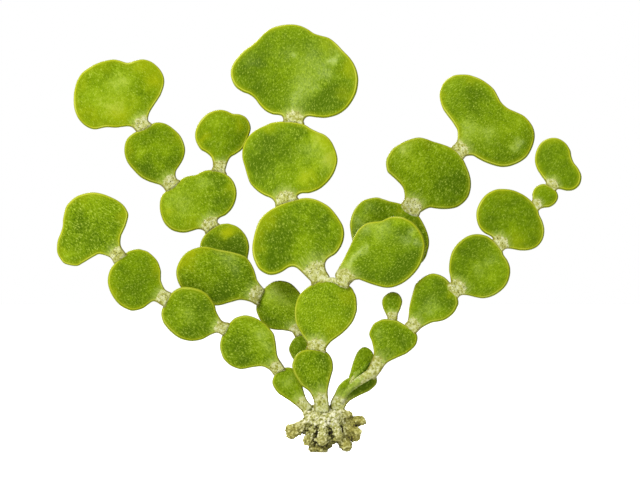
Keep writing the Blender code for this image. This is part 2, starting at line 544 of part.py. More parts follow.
def build_plant():
    plant = new_collection("cactus_algae")
    cutters = new_collection("cutters")
    build_holdfast(plant, cutters)

    def build(name, grows_from, drawing, **shape):
        segment = Segment(name, grows_from, drawing, **shape)
        build_segment(segment, plant)
        return segment

    left_low_branch(partial(build, thickness=THIN_BLADE))
    left_high_branch(partial(build, thickness=THIN_BLADE))
    fork = middle_branch(build)
    right_high_branch(partial(build, thickness=THICK_BLADE), fork)
    right_branch(partial(build, thickness=THICK_BLADE))


clear_scene()
build_plant()
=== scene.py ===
# %% [markdown]
# # Cactus algae, from its plain solids to a finished plant
#
# The plant is a green calcareous seaweed: flat fleshy segments, each on a short pale stalk, that branch up
# from a knobbly holdfast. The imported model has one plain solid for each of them. This lesson gives every
# solid its living surface: rounded rims, soft waves, pitted stalks, a granular holdfast, and colours that
# follow all of these.
#
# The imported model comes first, because each piece is measured on its solid and takes its place.

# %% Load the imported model
import math

import bmesh
import bpy
import numpy as np
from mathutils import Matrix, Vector, noise
from mathutils.bvhtree import BVHTree
from mathutils.geometry import delaunay_2d_cdt


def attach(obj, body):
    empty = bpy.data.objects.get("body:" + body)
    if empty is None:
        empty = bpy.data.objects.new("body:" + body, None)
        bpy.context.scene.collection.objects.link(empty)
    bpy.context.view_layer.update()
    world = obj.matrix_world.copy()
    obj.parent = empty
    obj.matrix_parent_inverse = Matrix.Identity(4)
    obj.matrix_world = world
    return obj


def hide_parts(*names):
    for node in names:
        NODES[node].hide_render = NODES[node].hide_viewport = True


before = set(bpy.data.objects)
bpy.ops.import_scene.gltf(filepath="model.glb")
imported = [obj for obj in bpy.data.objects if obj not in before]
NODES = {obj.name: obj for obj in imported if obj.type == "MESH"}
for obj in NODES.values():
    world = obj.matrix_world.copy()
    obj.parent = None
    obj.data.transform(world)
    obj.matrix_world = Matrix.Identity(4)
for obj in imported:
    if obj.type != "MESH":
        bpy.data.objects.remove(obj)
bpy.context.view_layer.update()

BODY = "root"
HOLDFAST = "holdfast"
BLADES = sorted(name for name in NODES if name != HOLDFAST)
MM = 0.001

# %% [markdown]
# ## A short way to write node trees
#
# Geometry Nodes and materials are both trees of nodes with links between their sockets. Written out in
# full, each node takes several lines, so a small class adds a node, sets it up and links it in one call. An
# input is either a number or the output socket of another node.

# %% A helper for node trees
NOISE_MIDDLE = 0.5


class Tree:
    """A node tree, with short calls that add a node and link its inputs."""

    def __init__(self, tree):
        self.tree = tree

    def node(self, kind, settings=None, **inputs):
        made = self.tree.nodes.new(kind)
        for setting, value in (settings or {}).items():
            setattr(made, setting, value)
        for name, value in inputs.items():
            self.feed(made.inputs[name.replace("_", " ")], value)
        return made

    def feed(self, socket, value):
        if isinstance(value, bpy.types.NodeSocket):
            self.tree.links.new(value, socket)
        elif value is not None:
            socket.default_value = value

    def feed_each(self, sockets, values):
        for socket, value in zip(sockets, values):
            self.feed(socket, value)

    def math(self, operation, *values, clamp=False):
        made = self.node("ShaderNodeMath", {"operation": operation, "use_clamp": clamp})
        self.feed_each(made.inputs, values)
        return made.outputs[0]

    def plus(self, first, second):
        return self.math("ADD", first, second)

    def minus(self, first, second, clamp=False):
        return self.math("SUBTRACT", first, second, clamp=clamp)

    def times(self, first, second, clamp=False):
        return self.math("MULTIPLY", first, second, clamp=clamp)

    def divide(self, first, second, clamp=False):
        """The first number divided by the second."""
        return self.math("DIVIDE", first, second, clamp=clamp)

    def vector(self, operation, first, second=None, scale=None):
        made = self.node("ShaderNodeVectorMath", {"operation": operation})
        self.feed_each((made.inputs[0], made.inputs[1], made.inputs[3]), (first, second, scale))
        return made.outputs["Vector"]

    def ease(self, value, start, end, low=0.0, high=1.0):
        """Goes smoothly from low to high while the value goes from start to end."""
        made = self.node("ShaderNodeMapRange", {"interpolation_type": "SMOOTHSTEP"})
        self.feed_each(made.inputs, (value, start, end, low, high))
        return made.outputs[0]

    def blend(self, factor, first, second):
        """A number between first and second."""
        made = self.node("ShaderNodeMix", {"data_type": "FLOAT"})
        self.feed_each((made.inputs[0], made.inputs[2], made.inputs[3]), (factor, first, second))
        return made.outputs[0]

    def noise(self, place, size, detail=2.0, roughness=0.5):
        """Soft noise whose lumps are about size millimetres wide."""
        made = self.node("ShaderNodeTexNoise", Vector=place, Scale=1 / (size * MM), Detail=detail,
                         Roughness=roughness)
        return made.outputs[0]

    def off_middle(self, value, strength):
        """How far noise is above or below its middle, times a strength."""
        return self.times(self.minus(value, NOISE_MIDDLE), strength)


# %% [markdown]
# ## What a solid says about its blade
#
# A blade is a sheet of nearly even thickness, bent a little in depth. Seen from the front it has one closed
# outline, and its middle follows a smooth surface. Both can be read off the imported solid. The outline is
# the border of the faces that look forward, and a least squares fit through all corners gives the middle's
# depth, because the front and the back lie equally far from it. X runs to the right, Z up and Y back, away
# from the viewer.

# %% Read the outline and the bend of a solid
WELD = 1e-6
FACES_FORWARD = -0.3


def welded_copy(node):
    """The node's loose triangles as one joined mesh. The node itself stays as it is."""
    solid = bmesh.new()
    solid.from_mesh(node.data)
    bmesh.ops.remove_doubles(solid, verts=solid.verts, dist=WELD)
    return solid


def front_border(solid):
    """The outline of the forward faces, in order, as rows of x and z in millimetres."""
    following = {}
    for face in solid.faces:
        if face.normal.y < FACES_FORWARD:
            for loop in face.loops:
                other = loop.link_loop_radial_next.face
                if other.normal.y >= FACES_FORWARD:
                    following[loop.vert] = loop.link_loop_next.vert
    start = next(iter(following))
    border = [start]
    while following[border[-1]] is not start:
        border.append(following[border[-1]])
    return np.array([(vert.co.x, vert.co.z) for vert in border]) / MM


def bend_terms(points, centre):
    across, up = (points - centre).T
    return np.stack([np.ones_like(across), across, up, across * up, across ** 2, up ** 2], axis=1)


def fitted_bend(solid, centre):
    """The numbers of a gently curved surface through the middle of the solid."""
    corners = np.array([vert.co for vert in solid.verts]) / MM
    answer = np.linalg.lstsq(bend_terms(corners[:, [0, 2]], centre), corners[:, 1], rcond=None)
    return answer[0]


# %% [markdown]
# ## The foot of each stalk
#
# A stalk's foot is drawn as a straight line of four corners, and it ends a little short of the segment
# below. On the real plant the two have grown together. So the foot is found by its two sharp ends, three
# steps apart on the outline and never far from each other, and it is moved on until it is inside its
# neighbour. The few stalks that have grown over their neighbour's face reach further with a round tongue.
# The outline also grows by a tenth of a millimetre, which makes up for what the rounding of the rim takes
# from it.

# %% Find the foot and let it reach into its neighbour
GROWTH = 0.1
FOOT_STEPS = 3
FOOT_REACH = 1.2
LONG_REACHES = {"right_high_2": 3.0, "right_4": 2.0, "front_fan": 1.7, "right_bud_low": 2.0}
LENGTH_COST = 0.2


def turns(border):
    """How sharply the outline turns at each corner, in radians, and positive where it bulges."""
    ahead = np.roll(border, -1, axis=0) - border
    behind = border - np.roll(border, 1, axis=0)
    cross = behind[:, 0] * ahead[:, 1] - behind[:, 1] * ahead[:, 0]
    return np.arctan2(cross, (behind * ahead).sum(axis=1))


def foot_first(border):
    """The outline, turned so that it starts with the four corners of the foot."""
    bulge = turns(border)
    ends = np.minimum(bulge, np.roll(bulge, -FOOT_STEPS))
    between = sum(abs(np.roll(bulge, -step)) for step in range(1, FOOT_STEPS))
    length = np.linalg.norm(np.roll(border, -FOOT_STEPS, axis=0) - border, axis=1)
    return np.roll(border, -np.argmax(ends - between / FOOT_STEPS - length * LENGTH_COST), axis=0)


def outward_at(border):
    """The direction away from the inside at each corner of a counter-clockwise outline."""
    along = np.roll(border, -1, axis=0) - np.roll(border, 1, axis=0)
    return np.stack([along[:, 1], -along[:, 0]], axis=1) / np.linalg.norm(along, axis=1)[:, None]


def counter_clockwise(border):
    across, up = border.T
    area = (across * np.roll(up, -1) - np.roll(across, -1) * up).sum()
    return border if area > 0 else border[::-1]


# %% [markdown]
# ## A smooth outline
#
# The solid's outline has a corner every two or three millimetres. A Catmull-Rom spline goes through all of
# them without a kink, and points close together on it give the finished rim. The side of the blade and the
# end of its foot are kept apart, because only the side gets a coloured rim.

# %% Run a spline along the side of a blade
RIM_STEP = 0.3


def spline_side(corners, step):
    """Points about one step apart on the smooth line through the corners."""
    ends = np.vstack([2 * corners[0] - corners[1], corners, 2 * corners[-1] - corners[-2]])
    side = []
    for before, start, end, after in zip(ends, ends[1:], ends[2:], ends[3:]):
        count = max(1, round(float(np.linalg.norm(end - start)) / step))
        for part in np.arange(count) / count:
            straight = 2 * start + (end - before) * part
            bend = (2 * before - 5 * start + 4 * end - after) * part ** 2
            twist = (3 * start - before - 3 * end + after) * part ** 3
            side.append((straight + bend + twist) / 2)
    return np.vstack([side, corners[-1:]])


def finished_outline(border, distance):
    """The smooth side of the blade, the end of its foot, and the foot's middle, for an outline foot first."""
    foot = border[:FOOT_STEPS + 1]
    line = foot[-1] - foot[0]
    outward = np.array([line[1], -line[0]]) / np.linalg.norm(line)
    reaches = np.array([FOOT_REACH, distance, distance, FOOT_REACH])
    tip = foot + outward * reaches[:, None]
    side = spline_side(np.vstack([tip[-1], border[FOOT_STEPS:], foot[0], tip[0]]), RIM_STEP)
    end = spline_side(tip, RIM_STEP)
    return side, end, foot.mean(axis=0)


# %% [markdown]
# ## Filling the outline
#
# The sheet needs small triangles where its shape changes fast: in rows along the rim, which is going to be
# rounded, and on the stalk, which gets pits. The broad blade needs far fewer. A constrained Delaunay
# triangulation joins any set of points inside an outline into well shaped triangles, so each region simply
# gets its own spacing.

# %% Measure and test points against a line
def nearest_on(line, points):
    """How far each point is from a line of many corners, and which piece of the line is nearest."""
    nearest = np.full(len(points), np.inf)
    piece = np.zeros(len(points), dtype=int)
    for index, (start, end) in enumerate(zip(line, line[1:])):
        from_start = points - start
        along = end - start
        part = np.clip(from_start @ along / (along @ along), 0, 1)
        away = ((from_start - part[:, None] * along) ** 2).sum(axis=1)
        closer = away < nearest
        nearest[closer] = away[closer]
        piece[closer] = index
    return np.sqrt(nearest), piece


def closed(outline):
    return np.vstack([outline, outline[:1]])


def inside(outline, points):
    """True where a line to the right crosses the outline an odd number of times."""
    odd = np.zeros(len(points), dtype=bool)
    for start, end in zip(outline, np.roll(outline, -1, axis=0)):
        spans = (start[1] > points[:, 1]) != (end[1] > points[:, 1])
        if spans.any():
            crossing = start[0] + (points[:, 1] - start[1]) * (end[0] - start[0]) / (end[1] - start[1])
            odd ^= spans & (crossing > points[:, 0])
    return odd


# %% Spread points over a blade
RIM_ROWS = (0.06, 0.14, 0.26, 0.42, 0.62, 0.88, 1.2)
BLADE_STEP = 0.45
STALK_STEP = 0.17
STALK_ROWS = 4
KEEP_APART = 0.8
TRIANGLE_HEIGHT = math.sqrt(0.75)


def lattice(outline, step):
    """Staggered rows of points over the outline's box."""
    low = outline.min(axis=0)
    high = outline.max(axis=0)
    row_height = step * TRIANGLE_HEIGHT
    rows = np.arange(low[1], high[1], row_height)
    columns = np.arange(low[0], high[0] + step, step)
    across, up = np.meshgrid(columns, rows)
    across = across + (np.arange(len(rows)) % 2)[:, None] * step / 2
    return np.stack([across.ravel(), up.ravel()], axis=1)


def well_inside(outline, points, margin):
    away, _ = nearest_on(closed(outline), points)
    return points[inside(outline, points) & (away > margin)]


def rim_row(outline, depth):
    """The outline's points moved inwards, without those that come too close to another part of the rim."""
    return well_inside(outline, outline - outward_at(outline) * depth, depth * KEEP_APART)


def blade_points(outline, foot, stalk):
    """Rows along the rim, a fine lattice on the stalk and a wide one on the blade."""
    rows = [rim_row(outline, depth) for depth in RIM_ROWS]
    for index in range(STALK_ROWS, len(rows)):
        rows[index] = rows[index][np.linalg.norm(rows[index] - foot, axis=1) > stalk]
    fine = lattice(outline, STALK_STEP)
    fine = fine[np.linalg.norm(fine - foot, axis=1) < stalk]
    fine = well_inside(outline, fine, RIM_ROWS[STALK_ROWS - 1] + STALK_STEP / 2)
    wide = lattice(outline, BLADE_STEP)
    wide = wide[np.linalg.norm(wide - foot, axis=1) > stalk + STALK_STEP]
    wide = well_inside(outline, wide, RIM_ROWS[-1] + BLADE_STEP / 2)
    return np.vstack(rows + [fine, wide])


# %% [markdown]
# ## Where each blade differs
#
# Most of a blade follows from its outline. What doesn't is written here, in the squares of the drawing that
# the solids were made on: a square is 0.3 mm, columns run right from the middle at 320, and rows run down
# to the floor at 452. Every blade has its own soft patches of darker and paler green, which are partly its
# own mottling and partly painted shade and painted highlights, and some have places that have turned
# yellow. Some also have whitish patches of painted sheen. How golden the rim is differs too, and so does
# the length of the pale stalk.

# %% Stalks and rims of single blades
SQUARE = 0.3
CENTRE_COLUMN = 320
FLOOR_ROW = 452
STALK_LENGTH = 3.4
STALK_LENGTHS = {
    "middle_3": 6.2, "front_fan": 4.2, "right_bud_low": 0.5, "right_bud_high": 2.2, "right_6": 1.9,
    "right_7": 2.4, "left_low_1": 4.4, "left_high_1": 5.0, "middle_1": 5.6, "right_1": 4.6, "right_2": 5.6,
    "right_5": 3.0, "left_high_side": 3.2,
}
GOLD = 0.6
GOLD_RIMS = {
    "middle_fan": 0.95, "middle_4": 0.9, "middle_3": 0.9, "left_high_6": 0.95, "left_high_side": 0.9,
    "front_fan": 0.7, "right_high_1": 0.55, "middle_1": 0.5, "right_high_2": 0.55, "right_high_3": 0.95,
    "left_low_1": 0.35, "left_low_2": 0.45, "left_low_3": 0.55, "left_low_4": 0.65, "left_low_5": 0.85,
    "left_high_1": 0.2, "left_high_2": 0.35, "right_bud_low": 0.15, "right_bud_high": 0.35,
    "right_1": 0.15, "right_2": 0.55, "right_3": 0.5, "right_5": 0.85, "right_6": 0.7, "right_7": 0.9,
}

# How strongly the grains and flecks show on a blade. 1 is usual, and the right chain is smoother.
GRAININESS = {
    "right_3": 0.8, "right_4": 0.75, "right_5": 0.7, "right_6": 0.6, "right_7": 0.6, "left_high_side": 0.8,
    "middle_4": 0.9, "middle_fan": 0.95, "left_low_5": 1.25, "right_high_2": 1.1, "middle_1": 1.25,
    "middle_2": 1.3, "left_high_2": 1.3, "left_low_2": 1.15, "left_fan": 1.2,
}

# %% Patches of tone, painted shade and painted highlight on single blades
# Each patch is its column, its row, its radius, and how much paler than the rest it is. Dark patches are
# partly painted shade and pale ones partly painted highlight; the rest is the blade's own mottling.
TONE_AND_SHADE_PATCHES = {
    "middle_fan": [
        (295, 75, 90, -0.12), (258, 58, 14, -0.3), (240, 70, 12, -0.25), (258, 92, 13, -0.25),
        (330, 97, 14, -0.5), (312, 109, 10, -0.3), (302, 66, 18, 0.35), (312, 86, 10, 0.2),
        (292, 53, 4, 0.3), (330, 62, 5, 0.45), (333, 54, 12, 0.2), (300, 98, 12, 0.35), (323, 76, 10, 0.2),
        (318, 99, 7, -0.3), (333, 86, 7, -0.2),
    ],
    "middle_4": [
        (267, 143, 12, -0.45), (257, 165, 14, -0.6), (298, 128, 9, -0.45), (288, 150, 11, -0.35),
        (313, 145, 10, 0.35), (331, 157, 12, 0.6), (323, 138, 10, 0.4), (307, 177, 11, 0.5),
        (283, 176, 9, 0.2), (320, 187, 8, -0.25), (298, 164, 8, 0.15),
    ],
    "middle_3": [
        (277, 238, 16, -0.5), (275, 259, 12, -0.5), (297, 204, 8, -0.3), (321, 223, 10, -0.4),
        (288, 218, 9, -0.25), (302, 216, 8, 0.25), (305, 240, 9, 0.25), (333, 228, 7, 0.25),
        (322, 250, 9, -0.2), (299, 258, 8, 0.15),
    ],
    "middle_2": [
        (299, 307, 7, 0.4), (325, 315, 20, 0.25), (310, 287, 7, -0.1), (305, 337, 8, -0.15),
        (350, 322, 8, 0.25), (335, 337, 7, 0.15),
    ],
    "middle_1": [(325, 357, 10, -0.5), (310, 388, 8, -0.25), (304, 366, 9, 0.1), (331, 375, 6, -0.3)],
    "left_high_1": [(298, 345, 14, -0.25)],
    "left_high_2": [
        (282, 303, 60, 0.15), (274, 291, 10, 0.45), (270, 322, 10, -0.4), (261, 305, 6, -0.3),
        (296, 286, 8, -0.1), (283, 323, 7, -0.1), (283, 300, 8, 0.2),
    ],
    "left_fan": [
        (208, 257, 9, 0.15), (230, 257, 7, 0.3), (222, 282, 14, -0.25), (221, 300, 9, -0.6),
        (250, 273, 8, -0.15), (205, 273, 8, 0.1), (183, 284, 6, -0.2),
    ],
    "left_high_3": [(210, 241, 8, -0.35), (242, 250, 14, -0.7), (227, 232, 6, 0.35), (228, 246, 7, -0.3)],
    "left_low_1": [(287, 380, 9, 0.3), (296, 394, 7, 0.15), (300, 371, 7, -0.3)],
    "left_low_2": [
        (252, 345, 70, 0.12), (262, 333, 8, 0.4), (267, 348, 6, 0.3), (237, 343, 10, -0.4),
        (245, 361, 9, -0.45), (240, 323, 7, 0.1),
    ],
    "left_low_3": [
        (185, 313, 8, 0.2), (205, 307, 9, -0.4), (190, 334, 11, -0.45), (190, 301, 7, -0.2),
        (169, 313, 5, -0.2),
    ],
    "left_low_4": [(120, 265, 8, -0.4), (137, 286, 13, -0.35), (150, 259, 6, 0.1), (122, 290, 8, -0.2)],
    "left_low_5": [
        (95, 202, 9, 0.3), (80, 222, 9, -0.3), (95, 236, 12, -0.3), (110, 210, 8, 0.1), (70, 257, 7, 0.4),
        (107, 236, 8, 0.1), (67, 240, 5, -0.1),
    ],
    "left_high_4": [
        (182, 205, 18, 0.35), (202, 185, 10, 0.35), (222, 200, 9, -0.45), (219, 180, 8, -0.4),
        (195, 224, 8, 0.25), (167, 211, 8, 0.2), (178, 190, 8, 0.15),
    ],
    "left_high_5": [
        (140, 153, 6, 0.5), (159, 146, 9, 0.3), (172, 160, 9, -0.4), (143, 171, 10, -0.45),
        (148, 131, 8, -0.25), (131, 160, 7, -0.2), (157, 165, 6, 0.15),
    ],
    "left_high_6": [
        (118, 92, 60, 0.24), (107, 92, 14, 0.25), (97, 106, 12, 0.25), (118, 111, 12, 0.35),
        (120, 80, 10, 0.25), (139, 92, 8, -0.35), (107, 70, 8, -0.3), (128, 68, 7, -0.15),
        (88, 92, 7, 0.1),
    ],
    "left_high_side": [(217, 126, 9, 0.35), (233, 142, 8, -0.1), (210, 141, 7, 0.15), (222, 155, 8, 0.1)],
    "right_high_1": [
        (383, 209, 9, -0.25), (365, 215, 7, 0.2), (354, 233, 6, -0.2), (397, 209, 7, -0.3),
        (426, 243, 12, -0.6), (418, 223, 8, -0.5), (377, 203, 5, -0.2),
    ],
    "front_fan": [
        (367, 228, 4, 0.4), (373, 224, 4, 0.4), (354, 259, 4, 0.5), (360, 253, 4, 0.5), (365, 246, 4, 0.3),
        (349, 264, 4, 0.4), (380, 234, 9, 0.3), (396, 219, 6, 0.3), (404, 232, 7, -0.45),
        (417, 234, 4, 0.4), (407, 244, 5, 0.25), (412, 257, 9, -0.65), (403, 270, 11, -0.7),
        (368, 262, 8, -0.2), (368, 279, 10, -0.45), (389, 280, 10, -0.45),
    ],
    "right_high_2": [
        (430, 175, 80, 0.08), (405, 147, 10, 0.4), (417, 161, 9, 0.15), (427, 145, 6, -0.25),
        (457, 181, 12, -0.65), (442, 185, 9, -0.35), (450, 202, 10, -0.35), (430, 166, 8, -0.1),
        (425, 200, 7, 0.2), (447, 165, 8, -0.2),
    ],
    "right_high_3": [
        (475, 98, 13, -0.4), (460, 112, 8, -0.15), (467, 128, 11, 0.35), (487, 134, 13, 0.35),
        (514, 125, 12, 0.35), (518, 146, 4, 0.5), (496, 151, 8, -0.15), (508, 156, 8, -0.2),
        (452, 84, 8, 0.1), (500, 135, 10, 0.15),
    ],
    "right_1": [(367, 387, 8, -0.45), (355, 396, 8, -0.35), (341, 386, 6, 0.1)],
    "right_2": [(402, 337, 9, -0.35), (385, 352, 7, -0.1), (378, 335, 8, 0.1), (395, 325, 8, -0.15)],
    "right_bud_low": [(368, 363, 6, -0.25), (358, 362, 5, 0.15), (352, 372, 5, 0.1)],
    "right_bud_high": [(392, 300, 9, -0.25)],
    "right_3": [
        (442, 285, 10, -0.55), (424, 296, 8, -0.3), (433, 311, 8, 0.4), (424, 318, 7, 0.2),
        (451, 303, 7, -0.35),
    ],
    "right_4": [
        (465, 252, 13, -0.55), (480, 240, 10, -0.25), (458, 268, 8, -0.15), (492, 274, 13, 0.2),
        (500, 260, 8, 0.05), (484, 292, 8, -0.15), (476, 272, 7, 0.1),
    ],
    "right_5": [
        (510, 220, 70, -0.12), (490, 218, 10, -0.15), (505, 204, 14, -0.12), (525, 212, 10, -0.05),
        (514, 240, 10, 0.25), (503, 232, 9, 0.1), (533, 232, 7, 0.05),
    ],
    "right_6": [(545, 196, 9, 0.0)],
    "right_7": [(558, 165, 60, -0.18), (550, 160, 10, -0.08), (571, 180, 8, -0.05)],
}

# Each yellow place is its column, its row, its radius, and how yellow it is.
YELLOWS = {
    "middle_fan": [(352, 68, 8, 0.5), (345, 96, 8, 0.3), (328, 45, 8, 0.25)],
    "middle_4": [(326, 136, 11, 0.6), (334, 158, 9, 0.7), (309, 178, 9, 0.5), (270, 124, 9, 0.5)],
    "middle_3": [(268, 216, 9, 0.6), (256, 232, 8, 0.7), (258, 250, 6, 0.4), (337, 214, 7, 0.5)],
    "middle_2": [(350, 295, 9, 0.4), (330, 330, 10, 0.3)],
    "left_fan": [(180, 264, 8, 0.9), (190, 253, 8, 0.9), (205, 250, 6, 0.3)],
    "left_high_3": [(227, 230, 8, 1.1), (238, 231, 6, 0.3)],
    "left_high_4": [(232, 189, 6, 0.6), (195, 226, 8, 0.3), (165, 214, 6, 0.4)],
    "left_high_5": [(178, 137, 7, 0.4), (126, 150, 6, 0.4)],
    "left_high_6": [
        (157, 80, 10, 0.8), (120, 114, 13, 0.6), (76, 110, 9, 0.5), (92, 117, 10, 0.4),
        (100, 62, 10, 0.35), (142, 64, 10, 0.6), (80, 85, 7, 0.3),
    ],
    "left_high_side": [(202, 138, 6, 0.6), (240, 122, 7, 0.5)],
    "left_low_4": [(157, 268, 7, 0.5), (112, 290, 6, 0.4)],
    "left_low_5": [(125, 215, 6, 0.5), (85, 197, 8, 0.3), (62, 250, 7, 0.3)],
    "right_high_1": [(402, 213, 4, 0.5), (414, 221, 4, 0.5)],
    "right_high_2": [(425, 142, 6, 0.2), (413, 205, 5, 0.5)],
    "right_3": [(452, 290, 5, 0.6)],
    "right_high_3": [(470, 78, 8, 0.4), (443, 95, 5, 0.3)],
    "right_5": [(516, 243, 9, 0.4), (540, 230, 7, 0.4), (500, 190, 8, 0.3)],
    "right_7": [(553, 140, 8, 0.3)],
}


# %% Painted sheen on single blades
# Each whitish patch of painted sheen, a soft highlight, is its column, its row, its radius, and how much of
# the green it covers.
PAINTED_SHEENS = {
    "middle_fan": [
        (330, 61, 4, 0.75), (292, 54, 4, 0.4), (326, 74, 7, 0.2), (312, 60, 12, 0.18), (303, 80, 11, 0.18),
        (297, 98, 9, 0.28), (335, 51, 7, 0.22), (286, 56, 7, 0.12), (252, 62, 7, 0.1), (303, 92, 6, 0.2),
        (311, 82, 6, 0.18), (320, 72, 6, 0.15), (296, 106, 5, 0.25),
    ],
    "front_fan": [
        (350, 264, 3.5, 0.5), (355, 259, 4, 0.7), (360, 254, 4, 0.7), (366, 248, 4, 0.5),
        (371, 223, 5, 0.5), (364, 230, 5, 0.35), (384, 230, 8, 0.25), (405, 240, 6, 0.3),
        (417, 242, 3, 0.5), (414, 232, 5, 0.3),
    ],
    "right_high_1": [(358, 222, 7, 0.35), (351, 236, 5, 0.25), (367, 207, 6, 0.2)],
    "middle_4": [(330, 160, 8, 0.3), (312, 150, 8, 0.15)],
    "left_high_6": [(116, 82, 9, 0.12)],
    "left_high_4": [(180, 203, 10, 0.12), (202, 183, 6, 0.15)],
    "right_high_2": [(405, 148, 8, 0.3)],
    "right_high_3": [(470, 128, 8, 0.25), (489, 134, 8, 0.25), (519, 146, 4, 0.5)],
    "left_low_2": [(262, 334, 6, 0.3), (269, 347, 5, 0.2)],
    "left_low_1": [(287, 381, 6, 0.2)],
    "left_low_3": [(187, 314, 7, 0.12)],
    "left_fan": [(229, 257, 7, 0.3), (219, 252, 5, 0.12), (238, 268, 7, 0.15)],
    "left_high_2": [(276, 292, 7, 0.25), (285, 300, 7, 0.12)],
    "right_2": [(379, 336, 5, 0.2)],
    "right_3": [(425, 313, 5, 0.2), (433, 306, 7, 0.18)],
    "right_4": [(488, 262, 7, 0.15), (479, 271, 6, 0.12)],
}


def on_plant(column, row):
    return np.array([(column - CENTRE_COLUMN) * SQUARE, (FLOOR_ROW - row) * SQUARE])


# %% [markdown]
# ## Patches with uneven borders
#
# A soft round patch looks like a spot of a spray can. So the points are first moved to and fro by soft
# noise, and the patches are measured from there, which gives them the uneven borders that grown things
# have.

# %% Paint patches
WANDERS = ((4.5, 2.0), (1.6, 1.1))
WANDER_SEED = 1

# Blender's noise vectors are different in every run unless they get a seed.
noise.seed_set(WANDER_SEED)


def wandered(points, seed):
    """The points, moved by noise of two widths, each with its own strength."""
    moved_points = []
    for across, up in points:
        place = Vector((across, up, 0.0))
        for width, strength in WANDERS:
            place += noise.noise_vector(Vector((across / width, up / width, seed))) * strength
        moved_points.append(place[:2])
    return np.array(moved_points)


def painted(points, patches):
    """The sum of soft patches at each point."""
    amount = np.zeros(len(points))
    for column, row, radius, strength in patches:
        away = np.linalg.norm(points - on_plant(column, row), axis=1) / (radius * SQUARE)
        amount += strength * np.exp(-away ** 2)
    return amount


# %% [markdown]
# ## The shapes, and who grows on whom
#
# All outlines and bends are read first, because a stalk has to know the face that it grows on. That is the
# blade whose outline its foot's end lies in, and of several the one nearest in depth. The foot bends
# forwards or back until its end lies in the middle of that blade. A few have grown on its front or come out
# from behind it, and these end in its skin.

# %% Read all shapes
SKIN = 0.52
SKIN_SIDES = {
    "front_fan": -1, "right_2": -1, "right_high_2": -1, "right_4": -1, "right_bud_low": -1,
    "left_high_3": 1, "right_high_1": 1,
}
NEAR_ENOUGH = 2.5


class Shape:
    """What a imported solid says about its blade, in millimetres."""

    def __init__(self, name):
        solid = welded_copy(NODES[name])
        border = counter_clockwise(front_border(solid))
        self.centre = border.mean(axis=0)
        self.bend = fitted_bend(solid, self.centre)
        border = foot_first(border)
        border = border + outward_at(border) * GROWTH
        self.side, self.end, self.foot = finished_outline(border, LONG_REACHES.get(name, FOOT_REACH))
        self.outline = np.vstack([self.side, self.end[1:-1]])
        solid.free()

    def depth(self, points):
        return bend_terms(points, self.centre) @ self.bend


SHAPES = {name: Shape(name) for name in BLADES}


def bend_to_neighbour(name):
    """How far back the end of the foot has to move to meet the blade that it grows on."""
    tip = SHAPES[name].end.mean(axis=0)[None]
    below = [shape for other, shape in SHAPES.items() if other != name and inside(shape.outline, tip)[0]]
    ways = [shape.depth(tip)[0] - SHAPES[name].depth(tip)[0] for shape in below]
    ways = [way for way in ways if abs(way) < NEAR_ENOUGH]
    return min(ways, key=abs) + SKIN * SKIN_SIDES.get(name, 0) if ways else 0.0


BENDS = {name: bend_to_neighbour(name) for name in BLADES}
print("feet move back by, in mm:", {name: round(float(way), 2) for name, way in BENDS.items()})


# %% [markdown]
# ## From outline to sheet
#
# The sheet is still without thickness. Its points carry what the next steps need: how far each is from the
# rim and from the end of the foot, whether the rim beside it faces the light from the upper left, how far
# it is from the foot in stalk lengths, and at what angle and distance it lies as seen from just below the
# foot. The last two let grains and pale streaks fan out of the stalk, as the plant's own fibres do.

# %% Make the sheet of a blade
RAY_START = 2.0
BEND_WIDTH = 3.0
TO_LIGHT = np.array([-0.45, 0.89])
CDT_ROUNDING = 1e-6
KEEP_INSIDE = 1


def sheet_attributes(points, shape, name):
    middle = shape.side.mean(axis=0)
    along = (middle - shape.foot) / np.linalg.norm(middle - shape.foot)
    from_start = points - (shape.foot - along * RAY_START)
    rim, piece = nearest_on(shape.side, points)
    steps = np.diff(shape.side, axis=0)
    patchy = wandered(points, BLADES.index(name))
    outward = np.stack([steps[:, 1], -steps[:, 0]], axis=1) / np.linalg.norm(steps, axis=1)[:, None]
    return {
        "rim": rim,
        "end": nearest_on(shape.end, points)[0],
        # Whether the rim faces the lamp, which the material turns into painted light and shade.
        "facing": (outward @ TO_LIGHT)[piece],
        "foot": np.linalg.norm(points - shape.foot, axis=1) / STALK_LENGTHS.get(name, STALK_LENGTH),
        "ray": np.arctan2(from_start @ np.array([along[1], -along[0]]), from_start @ along),
        "span": np.linalg.norm(from_start, axis=1),
        "blade": np.full(len(points), BLADES.index(name)),
        "gold": np.full(len(points), GOLD_RIMS.get(name, GOLD)),
        "grainy": np.full(len(points), GRAININESS.get(name, 1.0)),
        # The blade's own mottling, partly painted shade and painted highlight.
        "tone_and_shade": painted(patchy, TONE_AND_SHADE_PATCHES.get(name, ())),
        "yellow": painted(patchy, YELLOWS.get(name, ())),
        # Whitish painted sheen, a soft highlight.
        "painted_sheen": painted(patchy, PAINTED_SHEENS.get(name, ())),
    }


def add_attributes(mesh, attributes):
    for key, values in attributes.items():
        mesh.attributes.new(key, "FLOAT", "POINT").data.foreach_set("value", values.astype(np.float32))


def blade_sheet(name):
    """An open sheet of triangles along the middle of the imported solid, in metres."""
    shape = SHAPES[name]
    stalk = STALK_LENGTHS.get(name, STALK_LENGTH)
    points = np.vstack([shape.outline, blade_points(shape.outline, shape.foot, stalk)])
    rim = [list(range(len(shape.outline)))]
    filled = delaunay_2d_cdt([Vector(point) for point in points], [], rim, KEEP_INSIDE, CDT_ROUNDING)
    points = np.array(filled[0])
    attributes = sheet_attributes(points, shape, name)
    bent = np.clip(1 - attributes["end"] / BEND_WIDTH, 0, 1) ** 2 * BENDS[name]
    places = np.stack([points[:, 0], shape.depth(points) + bent, points[:, 1]], axis=1) * MM

    mesh = bpy.data.meshes.new(name + "_finished")
    mesh.from_pydata(places.tolist(), [], filled[2])
    add_attributes(mesh, attributes)
    return mesh
